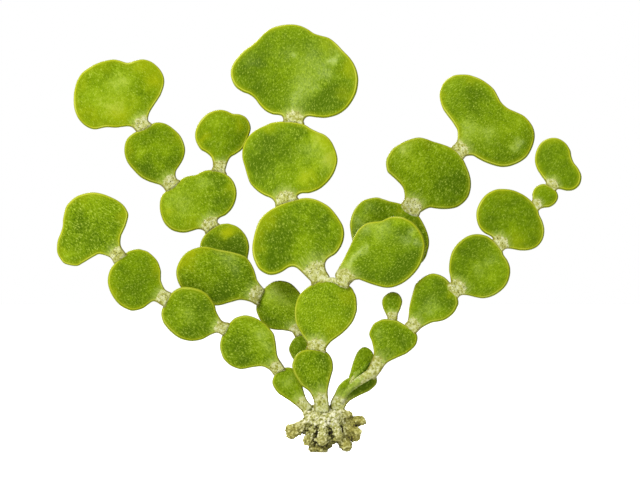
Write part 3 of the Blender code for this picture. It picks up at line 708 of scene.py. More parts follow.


# %% [markdown]
# ## Swelling the sheet
#
# The blade's thickness follows a rule, so Geometry Nodes make it: nothing at the very rim, then quickly
# full, with a slight bead just inside the rim, a little more towards the middle, and thicker on the stalk.
# At the end of the foot it runs out slowly, so that the stalk's skin meets the neighbour at a low angle.
# The same sheet is pushed forwards for the front and backwards for the back, and the two are joined where
# they meet at the rim. Soft waves move both together. Pits are dug in the stalk around points that are
# spread over it. The depth of each pit is kept as an attribute, because the material paints shade into the
# pits by it.

# %% The start of a tree with named inputs
def modifier_tree(name, numbers):
    """A Geometry Nodes tree that takes a mesh, some numbers and a seed."""
    group = bpy.data.node_groups.new(name, "GeometryNodeTree")
    group.is_modifier = True
    face = group.interface
    face.new_socket("Geometry", in_out="INPUT", socket_type="NodeSocketGeometry")
    face.new_socket("Geometry", in_out="OUTPUT", socket_type="NodeSocketGeometry")
    for number in numbers:
        face.new_socket(number, in_out="INPUT", socket_type="NodeSocketFloat")
    face.new_socket("Seed", in_out="INPUT", socket_type="NodeSocketInt")
    return Tree(group), group.nodes.new("NodeGroupInput").outputs


def finish_tree(tree, geometry, material):
    """Realizes everything, gives it its material and hands it out."""
    real = tree.node("GeometryNodeRealizeInstances", Geometry=geometry).outputs[0]
    done = tree.node("GeometryNodeSetMaterial", Geometry=real, Material=material).outputs[0]
    tree.feed(tree.node("NodeGroupOutput").inputs[0], done)
    return tree.tree


# %% The parts of the tree that swells a sheet
# Each range is where it starts and ends, often followed by the amounts at its start and at its end. Ranges
# along the rim and from the end of the foot are in millimetres, and those along the stalk in stalk lengths
# from the foot.
BEAD_PLACE = 0.38
BEAD_SIDES = (0.0, 0.22, 1.0, 0.0)
THICK_STALK = (0.75, 1.45, 1.0, 0.0)
WAVES_BEGIN = (1.0, 4.0)
SEED_SHIFT = 0.05
PEBBLE_WIDTH = 1.3
DOME_RISE = (0.0, 5.0, 1.0, 0.0)
PITS_ALONG_STALK = (0.7, 1.2, 1.0, 0.0)
PITS_FROM_END = (0.7, 1.4)
PIT_SIZES = (0.35, 0.65, 0.6, 1.3)
PIT_SIDES = (0.2, 1.0, 1.0, 0.0)


def attribute(tree, name):
    return tree.node("GeometryNodeInputNamedAttribute", {"data_type": "FLOAT"}, Name=name).outputs[0]


def moved(tree, geometry, facing, height):
    """The geometry pushed out along its own normals by a height in millimetres."""
    offset = tree.vector("SCALE", facing, scale=tree.times(height, MM))
    return tree.node("GeometryNodeSetPosition", Geometry=geometry, Offset=offset).outputs[0]


def wave_height(tree, given, place, rim):
    """Soft waves that leave the rim alone, different for each seed."""
    shift = tree.node("ShaderNodeCombineXYZ", Y=tree.times(given["Seed"], SEED_SHIFT)).outputs[0]
    scale = tree.divide(1 / MM, given["Wave Width"])
    waves = tree.node("ShaderNodeTexNoise", Vector=tree.vector("ADD", place, shift), Scale=scale, Detail=1.0)
    height = tree.off_middle(waves.outputs[0], given["Wave Height"])
    return tree.times(height, tree.ease(rim, *WAVES_BEGIN))


def half_thickness(tree, given, place, rim, foot):
    """Half the thickness: a quarter circle at the rim, a bead beside it, a low dome, more on the stalk."""
    to_go = tree.minus(1.0, tree.divide(rim, given["Rounding"], clamp=True))
    rounded = tree.math("SQRT", tree.minus(1.0, tree.times(to_go, to_go), clamp=True))
    rounded = tree.times(rounded, tree.ease(attribute(tree, "end"), 0.0, given["Foot Taper"]))
    thick = tree.blend(tree.ease(foot, *THICK_STALK), given["Blade Thickness"], given["Stalk Thickness"])
    half = tree.times(tree.times(thick, 0.5), rounded)
    lacking = tree.times(given["Dome"], tree.ease(rim, *DOME_RISE))
    half = tree.times(half, tree.minus(1.0, lacking))

    off_bead = tree.math("ABSOLUTE", tree.minus(rim, BEAD_PLACE))
    bead = tree.times(tree.ease(off_bead, *BEAD_SIDES), given["Bead Height"])
    pebbles = tree.off_middle(tree.noise(place, PEBBLE_WIDTH), given["Pebble Height"])
    return tree.plus(half, tree.times(rounded, tree.plus(bead, pebbles)))


def scattered(tree, mesh, given, spacing):
    """Points spread over the mesh, never closer together than the spacing in millimetres."""
    scatter = tree.node("GeometryNodeDistributePointsOnFaces", {"distribute_method": "POISSON"}, Mesh=mesh,
                        Seed=given["Seed"])
    tree.feed(scatter.inputs["Distance Min"], tree.times(spacing, MM))
    return scatter


def with_pits(tree, given, mesh, place, facing, foot):
    """Pits in the stalk, round scattered points, with their depth kept for the material."""
    along = tree.ease(foot, *PITS_ALONG_STALK)
    on_stalk = tree.times(along, tree.ease(attribute(tree, "end"), *PITS_FROM_END))
    scatter = scattered(tree, mesh, given, given["Pit Spacing"])
    density = tree.divide(1 / MM ** 2, tree.math("POWER", given["Pit Spacing"], 2.0))
    tree.feed(scatter.inputs["Density Max"], density)
    tree.feed(scatter.inputs["Density Factor"], on_stalk)
    near = tree.node("GeometryNodeProximity", {"target_element": "POINTS"},
                     Geometry=scatter.outputs["Points"], Sample_Position=place)
    uneven = tree.ease(tree.noise(place, PEBBLE_WIDTH), *PIT_SIZES)
    radius = tree.times(tree.times(given["Pit Radius"], MM), uneven)
    pit = tree.ease(tree.divide(near.outputs["Distance"], radius), *PIT_SIDES)
    pit = tree.times(pit, near.outputs["Is Valid"])
    kept = tree.node("GeometryNodeStoreNamedAttribute", {"data_type": "FLOAT", "domain": "POINT"},
                     Geometry=mesh, Name="pit", Value=pit).outputs[0]
    depth = tree.times(attribute(tree, "pit"), tree.times(given["Pit Depth"], -1.0))
    return moved(tree, kept, facing, depth)


# %% Build the tree that swells a sheet
def swell_tree(material):
    """A tree with named inputs, all in millimetres but the dome, which is a share of the thickness."""
    tree, given = modifier_tree("Swell the sheet", (
        "Blade Thickness", "Stalk Thickness", "Rounding", "Foot Taper", "Dome", "Bead Height", "Wave Height",
        "Wave Width", "Pebble Height", "Pit Depth", "Pit Radius", "Pit Spacing",
    ))
    rim = attribute(tree, "rim")
    foot = attribute(tree, "foot")
    place = tree.node("GeometryNodeInputPosition").outputs[0]
    facing = tree.node("GeometryNodeInputNormal").outputs[0]

    sheet = moved(tree, given["Geometry"], facing, wave_height(tree, given, place, rim))
    half = half_thickness(tree, given, place, rim, foot)
    front = moved(tree, sheet, facing, half)
    back = moved(tree, sheet, facing, tree.times(half, -1.0))
    back = tree.node("GeometryNodeFlipFaces", Mesh=back).outputs[0]

    both = tree.node("GeometryNodeJoinGeometry")
    tree.feed(both.inputs[0], back)
    tree.feed(both.inputs[0], front)
    whole = tree.node("GeometryNodeMergeByDistance", Geometry=both.outputs[0], Distance=WELD).outputs[0]
    pitted = with_pits(tree, given, whole, place, facing, foot)
    smooth = tree.node("GeometryNodeSetShadeSmooth", Geometry=pitted).outputs[0]
    return finish_tree(tree, smooth, material)


# %% [markdown]
# ## The green of the blades
#
# One material serves all blades. Its layers follow the real plant from the inside out: a mottled green,
# fine pale grains and dark flecks of the chalky skin, a golden line just inside the rim with an olive edge
# outside it, and the cream stalk, which ends at a ragged border and feathers into the green in fine
# streaks. Painted light and shade lie over these: the green carries painted shade, painted highlights and
# whitish painted sheen, the rim is painted lighter where it faces the lamp and darker where it is turned
# away, and the stalk's pits are painted dark as shade. Patterns read the object coordinates, so they run
# on from blade to blade at one scale, and what follows the shape reads the attributes.

# %% Colours, and helpers for materials
PAINT_STRENGTH = 0.242
BUMP_DEPTH = 0.08
WHITE = (1.0, 1.0, 1.0, 1.0)


def srgb(red, green, blue):
    """The paint that looks like this screen colour, from 0 to 255, under the lamp and the white studio.

    Blender mixes linear values, and the light is stronger than 1, so the paint is weaker than the colour.
    """
    parts = [part / 255 for part in (red, green, blue)]
    linear = [part / 12.92 if part <= 0.04045 else ((part + 0.055) / 1.055) ** 2.4 for part in parts]
    return (*(part * PAINT_STRENGTH for part in linear), 1.0)


class Paint(Tree):
    """A material's tree, with calls that lay colours over each other."""

    def __init__(self, material):
        super().__init__(material.node_tree)
        self.place = self.node("ShaderNodeTexCoord").outputs["Object"]

    def attribute(self, name):
        return self.node("ShaderNodeAttribute", {"attribute_name": name}).outputs["Fac"]

    def spots(self, size, detail=2.0, roughness=0.5):
        """Noise on the object's own coordinates."""
        return self.noise(self.place, size, detail, roughness)

    def over(self, below, above, amount):
        """The colour above laid over the colour below, by an amount from 0 to 1."""
        made = self.node("ShaderNodeMix", {"data_type": "RGBA"})
        self.feed_each((made.inputs[0], made.inputs[6], made.inputs[7]), (amount, below, above))
        return made.outputs[2]

    def ramp(self, value, *stops):
        """A colour that changes through the stops, each a place from 0 to 1 and a colour."""
        made = self.node("ShaderNodeValToRGB", Fac=value)
        places = made.color_ramp.elements
        while len(places) < len(stops):
            places.new(0.5)
        for element, (at, colour) in zip(places, stops):
            element.position = at
            element.color = colour
        return made.outputs["Color"]

    def dots(self, spacing, radius, share):
        """1 in the middle of round dots, which a share of the cells have."""
        cells = self.node("ShaderNodeTexVoronoi", Vector=self.place, Scale=1 / (spacing * MM))
        near = self.ease(cells.outputs["Distance"], radius / spacing * 0.4, radius / spacing, 1.0, 0.0)
        chosen = self.node("ShaderNodeSeparateColor", Color=cells.outputs["Color"]).outputs[0]
        return self.times(near, self.math("LESS_THAN", chosen, share))

    def bump(self, surface, height, strength):
        """Makes the surface look uneven without moving it."""
        made = self.node("ShaderNodeBump", Height=height, Strength=strength, Distance=BUMP_DEPTH * MM)
        self.feed(surface.inputs["Normal"], made.outputs[0])


def new_material(name):
    material = bpy.data.materials.new(name)
    material.use_nodes = True
    return material, material.node_tree.nodes["Principled BSDF"]


# %% The mottled green with its grains
# Each range is again where it starts and ends, and the amounts at its start and at its end.
GREENS = ((0.0, srgb(84, 114, 2)), (0.25, srgb(106, 136, 4)), (0.5, srgb(126, 156, 4)),
          (0.75, srgb(150, 178, 22)), (1.0, srgb(182, 202, 66)))
MIDDLE_LEVEL = 0.38
BROAD_STRENGTH = 0.35
MOTTLE_STRENGTH = 0.9
TONE_AND_SHADE_STRENGTH = 0.8
LIT_BESIDE_RIM = (0.3, 5.0, 0.11, 0.0)
PAINTED_SHEEN = srgb(190, 208, 126)
PAINTED_SHEEN_BREAKUP = (0.3, 0.65, 0.3, 1.0)
GRAIN_LIGHT = srgb(192, 212, 82)
FLECK_DARK = srgb(62, 92, 0)
CLEAN_WHERE_PALE = (-0.1, 0.5, 1.0, 0.4)
DARK_IN_NOISE = (0.32, 0.5, 0.65, 0.0)
LIGHT_IN_NOISE = (0.53, 0.72, 0.0, 0.65)
DOTS_CROWDED = (0.42, 0.62, 0.1, 0.65)
OWN_PATTERN = 7.3


def mottled_green(paint, rim):
    broad = paint.off_middle(paint.spots(size=10.0, detail=1.0), BROAD_STRENGTH)
    mottle = paint.off_middle(paint.spots(size=2.4, detail=4.0, roughness=0.72), MOTTLE_STRENGTH)
    # Tone patches: the blade's own mottling, partly painted shade in the dark ones and partly painted
    # highlight in the pale ones.
    patches = paint.times(paint.attribute("tone_and_shade"), TONE_AND_SHADE_STRENGTH)
    # Painted light and shade: paler within 5 mm of a rim that faces the lamp, darker beside a rim turned away
    # from it.
    lit = paint.times(paint.attribute("facing"), paint.ease(rim, *LIT_BESIDE_RIM))
    level = MIDDLE_LEVEL
    for part in (broad, mottle, patches, lit):
        level = paint.plus(level, part)
    # Painted sheen: whitish highlight patches, broken up by fine noise.
    sheen_breakup = paint.ease(paint.spots(size=0.9, detail=3.0, roughness=0.7), *PAINTED_SHEEN_BREAKUP)
    painted_sheen = paint.times(paint.attribute("painted_sheen"), sheen_breakup, clamp=True)
    return paint.over(paint.ramp(level, *GREENS), PAINTED_SHEEN, painted_sheen)


def fibre_noise(paint, stretch, scale, detail, roughness):
    """Noise on coordinates in millimetres that fan out from the foot, so that it lies along the fibres."""
    span = paint.attribute("span")
    across = paint.times(paint.attribute("ray"), span)
    along = paint.divide(span, stretch)
    own = paint.times(paint.attribute("blade"), OWN_PATTERN)
    place = paint.node("ShaderNodeCombineXYZ", X=across, Y=along, Z=own).outputs[0]
    made = paint.node("ShaderNodeTexNoise", Vector=place, Scale=scale, Detail=detail, Roughness=roughness)
    return made.outputs[0]


def with_grains(paint, green):
    """Pale grains and dark flecks, fine ones along the fibres and round ones in crowds."""
    fine = fibre_noise(paint, stretch=1.4, scale=2.1, detail=2.0, roughness=0.8)
    grainy = paint.attribute("grainy")
    clean = paint.times(paint.ease(paint.attribute("tone_and_shade"), *CLEAN_WHERE_PALE), grainy)
    green = paint.over(green, FLECK_DARK, paint.times(paint.ease(fine, *DARK_IN_NOISE), clean))
    green = paint.over(green, GRAIN_LIGHT, paint.times(paint.ease(fine, *LIGHT_IN_NOISE), grainy))
    crowded = paint.times(paint.ease(paint.spots(size=2.8), *DOTS_CROWDED), grainy)
    grains = paint.times(paint.dots(spacing=0.9, radius=0.2, share=0.4), crowded)
    green = paint.over(green, GRAIN_LIGHT, grains)
    flecks = paint.times(paint.dots(spacing=1.2, radius=0.26, share=0.35), crowded)
    return paint.over(green, FLECK_DARK, paint.times(flecks, clean))


# %% The rim
RIM_OLIVE_AND_SHADE = srgb(136, 148, 8)
RIM_LIT = srgb(184, 194, 56)
RIM_GOLD = srgb(188, 194, 36)
RIM_PALE = srgb(204, 210, 78)
BESIDE_RIM = srgb(150, 166, 12)
YELLOWED = srgb(176, 186, 8)
YELLOW_STRENGTH = 0.8
SHIFT_OUT_OF_LIGHT = (-0.6, 0.6, 0.24, 0.0)
WEAKER_OUT_OF_LIGHT = (-1.0, 0.6, 0.85, 1.0)
BESIDE_WIDTH = (0.4, 1.9, 1.0, 0.0)
BESIDE_UNEVEN = (0.3, 0.6, 0.3, 0.8)
LINE_PALER = (0.45, 0.7)
LINE_STARTS = (0.14, 0.26)
LINE_ENDS = (0.36, 0.64, 1.0, 0.0)
LINE_UNEVEN = (0.25, 0.55, 0.6, 1.2)
EDGE_LIT = (-0.7, 0.7, 0.0, 1.2)
EDGE_WIDTH = (0.12, 0.28, 0.85, 0.0)


def with_rim(paint, green, rim):
    """The golden line and olive edge, with painted shade and light: away from the lamp the line lies further
    in and is weaker, the edge is wider and darker, and towards the lamp the edge is painted lighter.
    """
    along = paint.spots(size=7.0, detail=1.0)
    facing = paint.attribute("facing")
    gold = paint.attribute("gold")
    # Painted light and shade: every step that reads facing paints the rim lighter towards the lamp and darker
    # away from it.
    rim = paint.minus(rim, paint.ease(facing, *SHIFT_OUT_OF_LIGHT))
    green = paint.over(green, YELLOWED, paint.times(paint.attribute("yellow"), YELLOW_STRENGTH, clamp=True))
    strength = paint.times(gold, paint.ease(facing, *WEAKER_OUT_OF_LIGHT))
    beside = paint.times(paint.ease(rim, *BESIDE_WIDTH), paint.ease(along, *BESIDE_UNEVEN))
    green = paint.over(green, BESIDE_RIM, paint.times(beside, strength))
    colour = paint.over(RIM_GOLD, RIM_PALE, paint.ease(along, *LINE_PALER))
    line = paint.times(paint.ease(rim, *LINE_STARTS), paint.ease(rim, *LINE_ENDS))
    line = paint.times(line, paint.ease(along, *LINE_UNEVEN))
    green = paint.over(green, colour, paint.times(line, strength, clamp=True))
    lit = paint.times(paint.ease(facing, *EDGE_LIT), gold, clamp=True)
    return paint.over(green, paint.over(RIM_OLIVE_AND_SHADE, RIM_LIT, lit), paint.ease(rim, *EDGE_WIDTH))


# %% The stalk
CREAMS = ((0.34, srgb(148, 148, 46)), (0.48, srgb(195, 198, 112)), (0.62, srgb(228, 230, 176)))
STREAK = srgb(190, 204, 100)
DARK_SPECK_AND_PIT_SHADE = srgb(66, 60, 4)
STALK_EDGE = srgb(132, 126, 10)
FIBRES_REACH = 1.6
STREAKS_END = (-0.4, 0.9, 0.75, 0.0)
SPECKS = (0.62, 0.7, 0.0, 0.85)
RAGGEDNESS = 1.2
CREAM_ENDS = (0.85, 1.05, 1.0, 0.0)
CREAM_STARTS = (0.1, 0.4)
STALK_EDGE_WIDTH = (0.15, 0.75, 1.0, 0.0)
STALK_EDGE_ENDS = (1.0, 1.4, 1.0, 0.0)
STALK_EDGE_STRENGTH = 0.75
PIT_SHADE_STRENGTH = 0.75


def with_stalk(paint, green, rim, foot):
    """Streaks that feather into the green, then the speckled cream with its olive edge, and painted shade in
    its pits.
    """
    fibres = fibre_noise(paint, stretch=5.0, scale=1.5, detail=3.0, roughness=0.7)
    reach = paint.minus(foot, paint.times(fibres, FIBRES_REACH))
    green = paint.over(green, STREAK, paint.ease(reach, *STREAKS_END))

    cream = paint.ramp(paint.spots(size=1.1, detail=3.0, roughness=0.75), *CREAMS)
    cream = paint.over(cream, DARK_SPECK_AND_PIT_SHADE, paint.ease(paint.spots(size=0.36, detail=1.0), *SPECKS))
    ragged = paint.off_middle(paint.spots(size=1.3, detail=4.0, roughness=0.8), RAGGEDNESS)
    starts = paint.ease(paint.plus(paint.attribute("end"), ragged), *CREAM_STARTS)
    ends = paint.ease(paint.plus(foot, ragged), *CREAM_ENDS)
    green = paint.over(green, cream, paint.times(ends, starts))
    edge = paint.times(paint.ease(rim, *STALK_EDGE_WIDTH), paint.ease(foot, *STALK_EDGE_ENDS))
    green = paint.over(green, STALK_EDGE, paint.times(edge, STALK_EDGE_STRENGTH))
    # Painted shade: each pit is darkened by its depth.
    return paint.over(green, DARK_SPECK_AND_PIT_SHADE, paint.times(paint.attribute("pit"), PIT_SHADE_STRENGTH))


# %% The blades' material
SHEEN = 0.04
SHEEN_COLOUR = (0.9, 1.0, 0.3, 1.0)
ROUGH_IN_NOISE = (0.3, 0.7, 0.55, 0.4)


def algae_material():
    material, surface = new_material("blade_green")
    paint = Paint(material)
    rim = paint.attribute("rim")
    green = with_grains(paint, mottled_green(paint, rim))
    green = with_rim(paint, green, rim)
    paint.feed(surface.inputs["Base Color"], with_stalk(paint, green, rim, paint.attribute("foot")))

    grain = paint.spots(size=0.5, detail=2.0, roughness=0.6)
    paint.feed(surface.inputs["Roughness"], paint.ease(grain, *ROUGH_IN_NOISE))
    paint.bump(surface, grain, strength=0.5)
    surface.inputs["Specular IOR Level"].default_value = SHEEN
    surface.inputs["Specular Tint"].default_value = SHEEN_COLOUR
    return material


ALGAE = algae_material()
print("material:", ALGAE.name, "with", len(ALGAE.node_tree.nodes), "nodes")

# %% [markdown]
# ## Things that have grown together
#
# Two stalks don't end at their neighbour's rim. One runs on over the neighbour's face as a low ridge, and
# between two others a web has formed. The holdfast's fingers have grown together too. All of these are rows
# of balls, which a voxel remesh joins into one closed skin. A smoothing pass then takes the steps of the
# voxels away.

# %% Join rows of balls into one skin
BALL_SUBDIVISIONS = 3
BALLS_BETWEEN = 5
SMOOTHING_ROUNDS = 3


def place_object(name, data):
    thing = bpy.data.objects.new(name, data)
    bpy.context.scene.collection.objects.link(thing)
    return thing


def evaluated_mesh(thing):
    """The object's mesh after its modifiers, as a plain mesh of its own."""
    graph = bpy.context.evaluated_depsgraph_get()
    return bpy.data.meshes.new_from_object(thing.evaluated_get(graph), depsgraph=graph)


def add_ball(sheet, column, row, depth, radius):
    across, up = on_plant(column, row)
    ball = bmesh.ops.create_icosphere(sheet, subdivisions=BALL_SUBDIVISIONS, radius=radius * MM)
    bmesh.ops.translate(sheet, verts=ball["verts"], vec=Vector((across, depth, up)) * MM)


def ball_row(sheet, balls):
    """Balls in small steps. A ball is its column and row, and its depth and radius in millimetres."""
    for start, end in zip(balls, balls[1:]):
        for step in range(BALLS_BETWEEN):
            part = step / BALLS_BETWEEN
            add_ball(sheet, *(first + (last - first) * part for first, last in zip(start, end)))
    add_ball(sheet, *balls[-1])


def joined_skin(thing, voxel, rounds=SMOOTHING_ROUNDS):
    """Remeshes the object into one smooth closed skin."""
    join = thing.modifiers.new("join", "REMESH")
    join.mode = "VOXEL"
    join.voxel_size = voxel * MM
    smooth = thing.modifiers.new("smooth", "SMOOTH")
    smooth.iterations = rounds
    thing.data = evaluated_mesh(thing)
    thing.modifiers.clear()


def grown_together(name, rows, voxel):
    sheet = bmesh.new()
    for balls in rows:
        ball_row(sheet, balls)
    mesh = bpy.data.meshes.new(name)
    sheet.to_mesh(mesh)
    sheet.free()
    thing = place_object(name, mesh)
    joined_skin(thing, voxel)
    return thing


# %% The ridge and the web
BRIDGE_VOXEL = 0.16
BRIDGES = {
    "right_bud_low": [
        (366.5, 364.5, 0.6, 1.1), (365, 369, 0.4, 1.3), (360, 373.5, 0.0, 1.3), (355.5, 378, -0.3, 1.1),
        (351.5, 382.5, -0.4, 0.8),
    ],
    "right_2": [
        (372, 372.5, -2.3, 1.5), (366, 376.5, -2.2, 1.45), (359, 381, -1.9, 1.35),
        (352, 386.5, -1.5, 1.15), (346, 393, -1.1, 0.95), (341.5, 401, -0.8, 0.75),
    ],
    "middle_3": [
        (322, 281, -2.7, 1.0), (327.5, 280, -3.0, 0.85), (333, 280, -3.5, 0.85), (338, 281.5, -4.0, 0.95),
        (342, 284, -4.4, 1.0),
    ],
}

# How many stalk lengths from the foot a bridge starts and ends, for its colour, and the blade that it lies
# on.
BRIDGE_FOOT = {"right_bud_low": (2.2, 0.6), "right_2": (0.7, 1.35), "middle_3": (0.6, 0.6)}
BRIDGE_GROUND = {"right_bud_low": "right_1", "right_2": "right_1", "middle_3": "middle_3"}
BRIDGE_GRAININESS = 1.3
FAR_FROM_RIM = 3.0
UPPER_SIDE_PAINTED_LIGHTER = 0.45
MOST_PALER = 0.4
DULLER = 0.3


def bridge_attributes(mesh, name):
    """The attributes that the blades' material reads, for a bridge: its own way along, and no rim."""
    balls = BRIDGES[name]
    start = on_plant(*balls[0][:2])
    line = on_plant(*balls[-1][:2]) - start
    length = np.linalg.norm(line)
    points = np.array([vert.co for vert in mesh.vertices])[:, [0, 2]] / MM
    along = (points - start) @ line / length
    across = (points - start) @ np.array([line[1], -line[0]]) / length
    near, far = BRIDGE_FOOT[name]
    own_foot = near + (far - near) * np.clip(along / length, 0, 1)
    ground = BRIDGE_GROUND[name]
    ground_foot = np.linalg.norm(points - SHAPES[ground].foot, axis=1) / STALK_LENGTHS[ground]
    span = RAY_START + np.clip(along, 0, None)
    nothing = np.zeros(len(points))
    return {
        **dict.fromkeys(("facing", "gold", "yellow", "painted_sheen", "pit"), nothing),
        **dict.fromkeys(("rim", "end"), nothing + FAR_FROM_RIM),
        "foot": np.minimum(own_foot, ground_foot),
        "ray": across / span,
        "span": span,
        "blade": nothing + BLADES.index(name),
        "grainy": nothing + BRIDGE_GRAININESS,
        # Painted light and shade across the ridge: paler on its upper side, darker on its lower side, on a
        # duller green.
        "tone_and_shade": np.clip(across * UPPER_SIDE_PAINTED_LIGHTER, -MOST_PALER, MOST_PALER) - DULLER,
    }


def add_bridge(blade, name):
    """Adds the bridge's skin to the blade's mesh."""
    bridge = grown_together(name + "_bridge", [BRIDGES[name]], BRIDGE_VOXEL)
    add_attributes(bridge.data, bridge_attributes(bridge.data, name))
    both = bmesh.new()
    both.from_mesh(blade.data)
    both.from_mesh(bridge.data)
    both.to_mesh(blade.data)
    both.free()
    bpy.data.objects.remove(bridge)


# %% [markdown]
# ## All blades
#
# Every blade is made the same way: its sheet goes through the tree, and the result becomes a plain mesh.
# The inputs are set by their identifiers, before the object is first evaluated. The thickness is one of two
# numbers read off the imported solids, so the blades on the right stay thicker than those on the left.

# %% Swell every sheet into its finished blade
SWELL = swell_tree(ALGAE)
SIZES = {
    "Stalk Thickness": 2.2, "Rounding": 0.7, "Foot Taper": 1.3, "Dome": 0.2, "Bead Height": 0.06,
    "Wave Height": 0.8, "Wave Width": 8.0, "Pebble Height": 0.1, "Pit Depth": 0.16, "Pit Radius": 0.17,
    "Pit Spacing": 0.85,
}
THIN = 1.35
THICK = 1.6


def set_inputs(modifier, group, values):
    """Gives the group to the modifier, and sets its inputs by their identifiers."""
    modifier.node_group = group
    inputs = [item for item in group.interface.items_tree if item.in_out == "INPUT"]
    identifiers = {item.name: item.identifier for item in inputs}
    for name, value in values.items():
        modifier[identifiers[name]] = value


def swollen(name, sheet, sizes):
    blade = place_object(name + "_blade", sheet)
    swell = blade.modifiers.new("swell", "NODES")
    set_inputs(swell, SWELL, sizes)
    blade.data = evaluated_mesh(blade)
    blade.modifiers.remove(swell)
    bpy.data.meshes.remove(sheet)
    return blade


def finish_piece(piece, material):
    """Gives the piece one material only, and smooth shading."""
    piece.data.materials.clear()
    piece.data.materials.append(material)
    piece.data.polygons.foreach_set("material_index", [0] * len(piece.data.polygons))
    piece.data.shade_smooth()


blade_triangles = 0
for seed, name in enumerate(BLADES):
    thickness = THIN if name.startswith("left") else THICK
    blade = swollen(name, blade_sheet(name), {**SIZES, "Blade Thickness": thickness, "Seed": seed})
    if name in BRIDGES:
        add_bridge(blade, name)
    finish_piece(blade, ALGAE)
    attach(blade, BODY)
    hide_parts(name)
    blade_triangles += len(blade.data.polygons)
print(len(BLADES), "blades with", blade_triangles, "triangles")

# %% [markdown]
# ## The holdfast
#
# The holdfast is a cluster of short fingers with round tips, which hold on to the rock. They have grown
# together at a crown under the stalks. Each finger is again a row of balls, set in front of or behind the
# others, so that dark gaps stay open between them. The skin is then covered in chalk grains. The floor cuts
# the whole flat.

# %% Draw the fingers
FINGER_VOXEL = 0.24
SKIN_OF_GRAINS = 0.18

# Each row's balls are their column, their row, their depth and their radius.
CROWN = [
    [(309, 418.5, -0.2, 1.4), (315, 417, -0.9, 1.5), (322, 417, -1.3, 1.5)],
    [(328, 417, -1.4, 1.5), (335, 416.5, -1.1, 1.6), (340.5, 418.5, -0.4, 1.4)],
    [(312, 423, 0.0, 1.7), (322, 423, -0.9, 1.8), (331, 423, -1.0, 1.8), (338, 423.5, -0.5, 1.5)],
    [(313, 421, 3.4, 2.0), (322, 419, 3.6, 2.4), (334, 421, 3.2, 2.2)],
    [(320, 430, 1.8, 2.3), (334, 431, 1.8, 2.3), (344, 431, 2.6, 1.7)],
    [(322, 438, 2.2, 1.9), (331, 438, 2.4, 1.7), (340, 436, 2.4, 1.6)],
    [(306.5, 414.5, 0.1, 1.0), (312, 414, -0.2, 1.2)],
    [(317.5, 413.2, -2.2, 0.9), (319, 415, -2.0, 1.1)],
    [(326.5, 413, -1.4, 1.0), (332, 413.5, -0.9, 1.1), (338, 414, -0.5, 1.1)],
    [(328.3, 405.5, 0.4, 0.7), (328.6, 411, 0.2, 1.3)],
    [(314, 405, 0.6, 0.6), (314.5, 413, 0.5, 1.2)],
    [(341, 408, 0.2, 0.9), (344.5, 414, 0.2, 1.2)],
    [(304, 407, 0.5, 0.9), (306, 413.5, 0.1, 1.2)],
]
FINGERS = [
    [(309, 422, -0.4, 1.5), (303, 425, -0.8, 1.5), (297, 427, -1.1, 1.4), (289.4, 428.6, -1.4, 1.4)],
    [(303, 427.5, -0.5, 1.4), (297.5, 431, -0.8, 1.35), (291.2, 434.9, -0.9, 1.5)],
    [(314, 428, -0.2, 1.3), (311.6, 434, -1.0, 1.35), (308.6, 440, -1.6, 1.9)],
    [(324, 424, -2.2, 1.4), (323, 431, -3.2, 1.4), (322.6, 439.6, -3.9, 1.85)],
    [(320, 438, 0.2, 1.3), (317, 443, 0.0, 1.2), (313.6, 448.6, -0.4, 1.65)],
    [(323, 440, -0.4, 1.3), (322.6, 448.7, -1.2, 1.7)],
    [(326, 440, 0.4, 1.4), (328, 445, 0.2, 1.4)],
    [(330, 437, 0.6, 1.3), (331.5, 440.5, 0.4, 1.1), (335, 441.5, 0.2, 0.9)],
    [(335, 423, -1.8, 1.4), (336.6, 429, -2.5, 1.45), (338.6, 436, -2.8, 1.5)],
    [(340, 437, -1.6, 1.2), (343, 441, -1.4, 1.3), (346.8, 445.4, -1.5, 1.85)],
    [(342, 424, 0.2, 1.3), (348, 427.5, 0.2, 1.1), (353, 430.5, 0.2, 1.3), (357.8, 432.4, 0.3, 1.35)],
    [(347, 431, 0.8, 1.2), (352, 434.5, 0.6, 1.2), (356.8, 437.3, 0.8, 1.3), (351.6, 438.4, 0.7, 1.05)],
    [(343, 420, 0.9, 1.3), (350, 421, 1.2, 1.4), (356, 421, 1.2, 1.45), (361.6, 420.8, 1.2, 1.5)],
    [(344, 418, 0.4, 1.3), (349, 414.6, 0.2, 1.25)],
]

# Each knob is one ball.
KNOBS = [
    (302.6, 425, -2.0, 0.6), (300.8, 421.6, -0.6, 0.75), (295.2, 424, -0.8, 0.6),
    (297.6, 428.6, -2.0, 0.55), (293, 431.4, -2.0, 0.6), (300.5, 435.6, -0.6, 0.55), (306, 422, -1.6, 0.7),
    (305, 418.5, -0.3, 0.8), (316.8, 439.4, -3.4, 0.7), (328.6, 437, -3.6, 0.75), (327.8, 431, -3.4, 0.65),
    (319.4, 433, -2.9, 0.65), (320.5, 419.5, -2.6, 0.7), (315.5, 417.5, -1.8, 0.7), (325, 421, -2.9, 0.7),
    (330, 418.5, -2.7, 0.75), (336.5, 417.5, -2.5, 0.85), (333.4, 422.5, -2.9, 0.7),
    (340, 420.6, -1.8, 0.75), (343.2, 417.2, -0.8, 0.75), (331, 427, -2.7, 0.65), (335, 439.6, -3.2, 0.75),
    (342.6, 434, -2.4, 0.7), (334, 434, -3.5, 0.6), (349.5, 430.8, -0.8, 0.7), (351.6, 426.4, 0.2, 0.85),
    (359.4, 435, 0.2, 0.6), (357.6, 428.8, 0.6, 0.75), (358.6, 417.6, 1.0, 0.8), (359.6, 424, 1.4, 0.85),
    (353.6, 423.8, 0.6, 0.7), (348.6, 436.4, -0.6, 0.5), (351.4, 418.8, 0.6, 0.6),
    (346.4, 424, -0.4, 0.65), (309.6, 429.4, -0.9, 0.6), (327.4, 446.4, -0.2, 0.7),
]
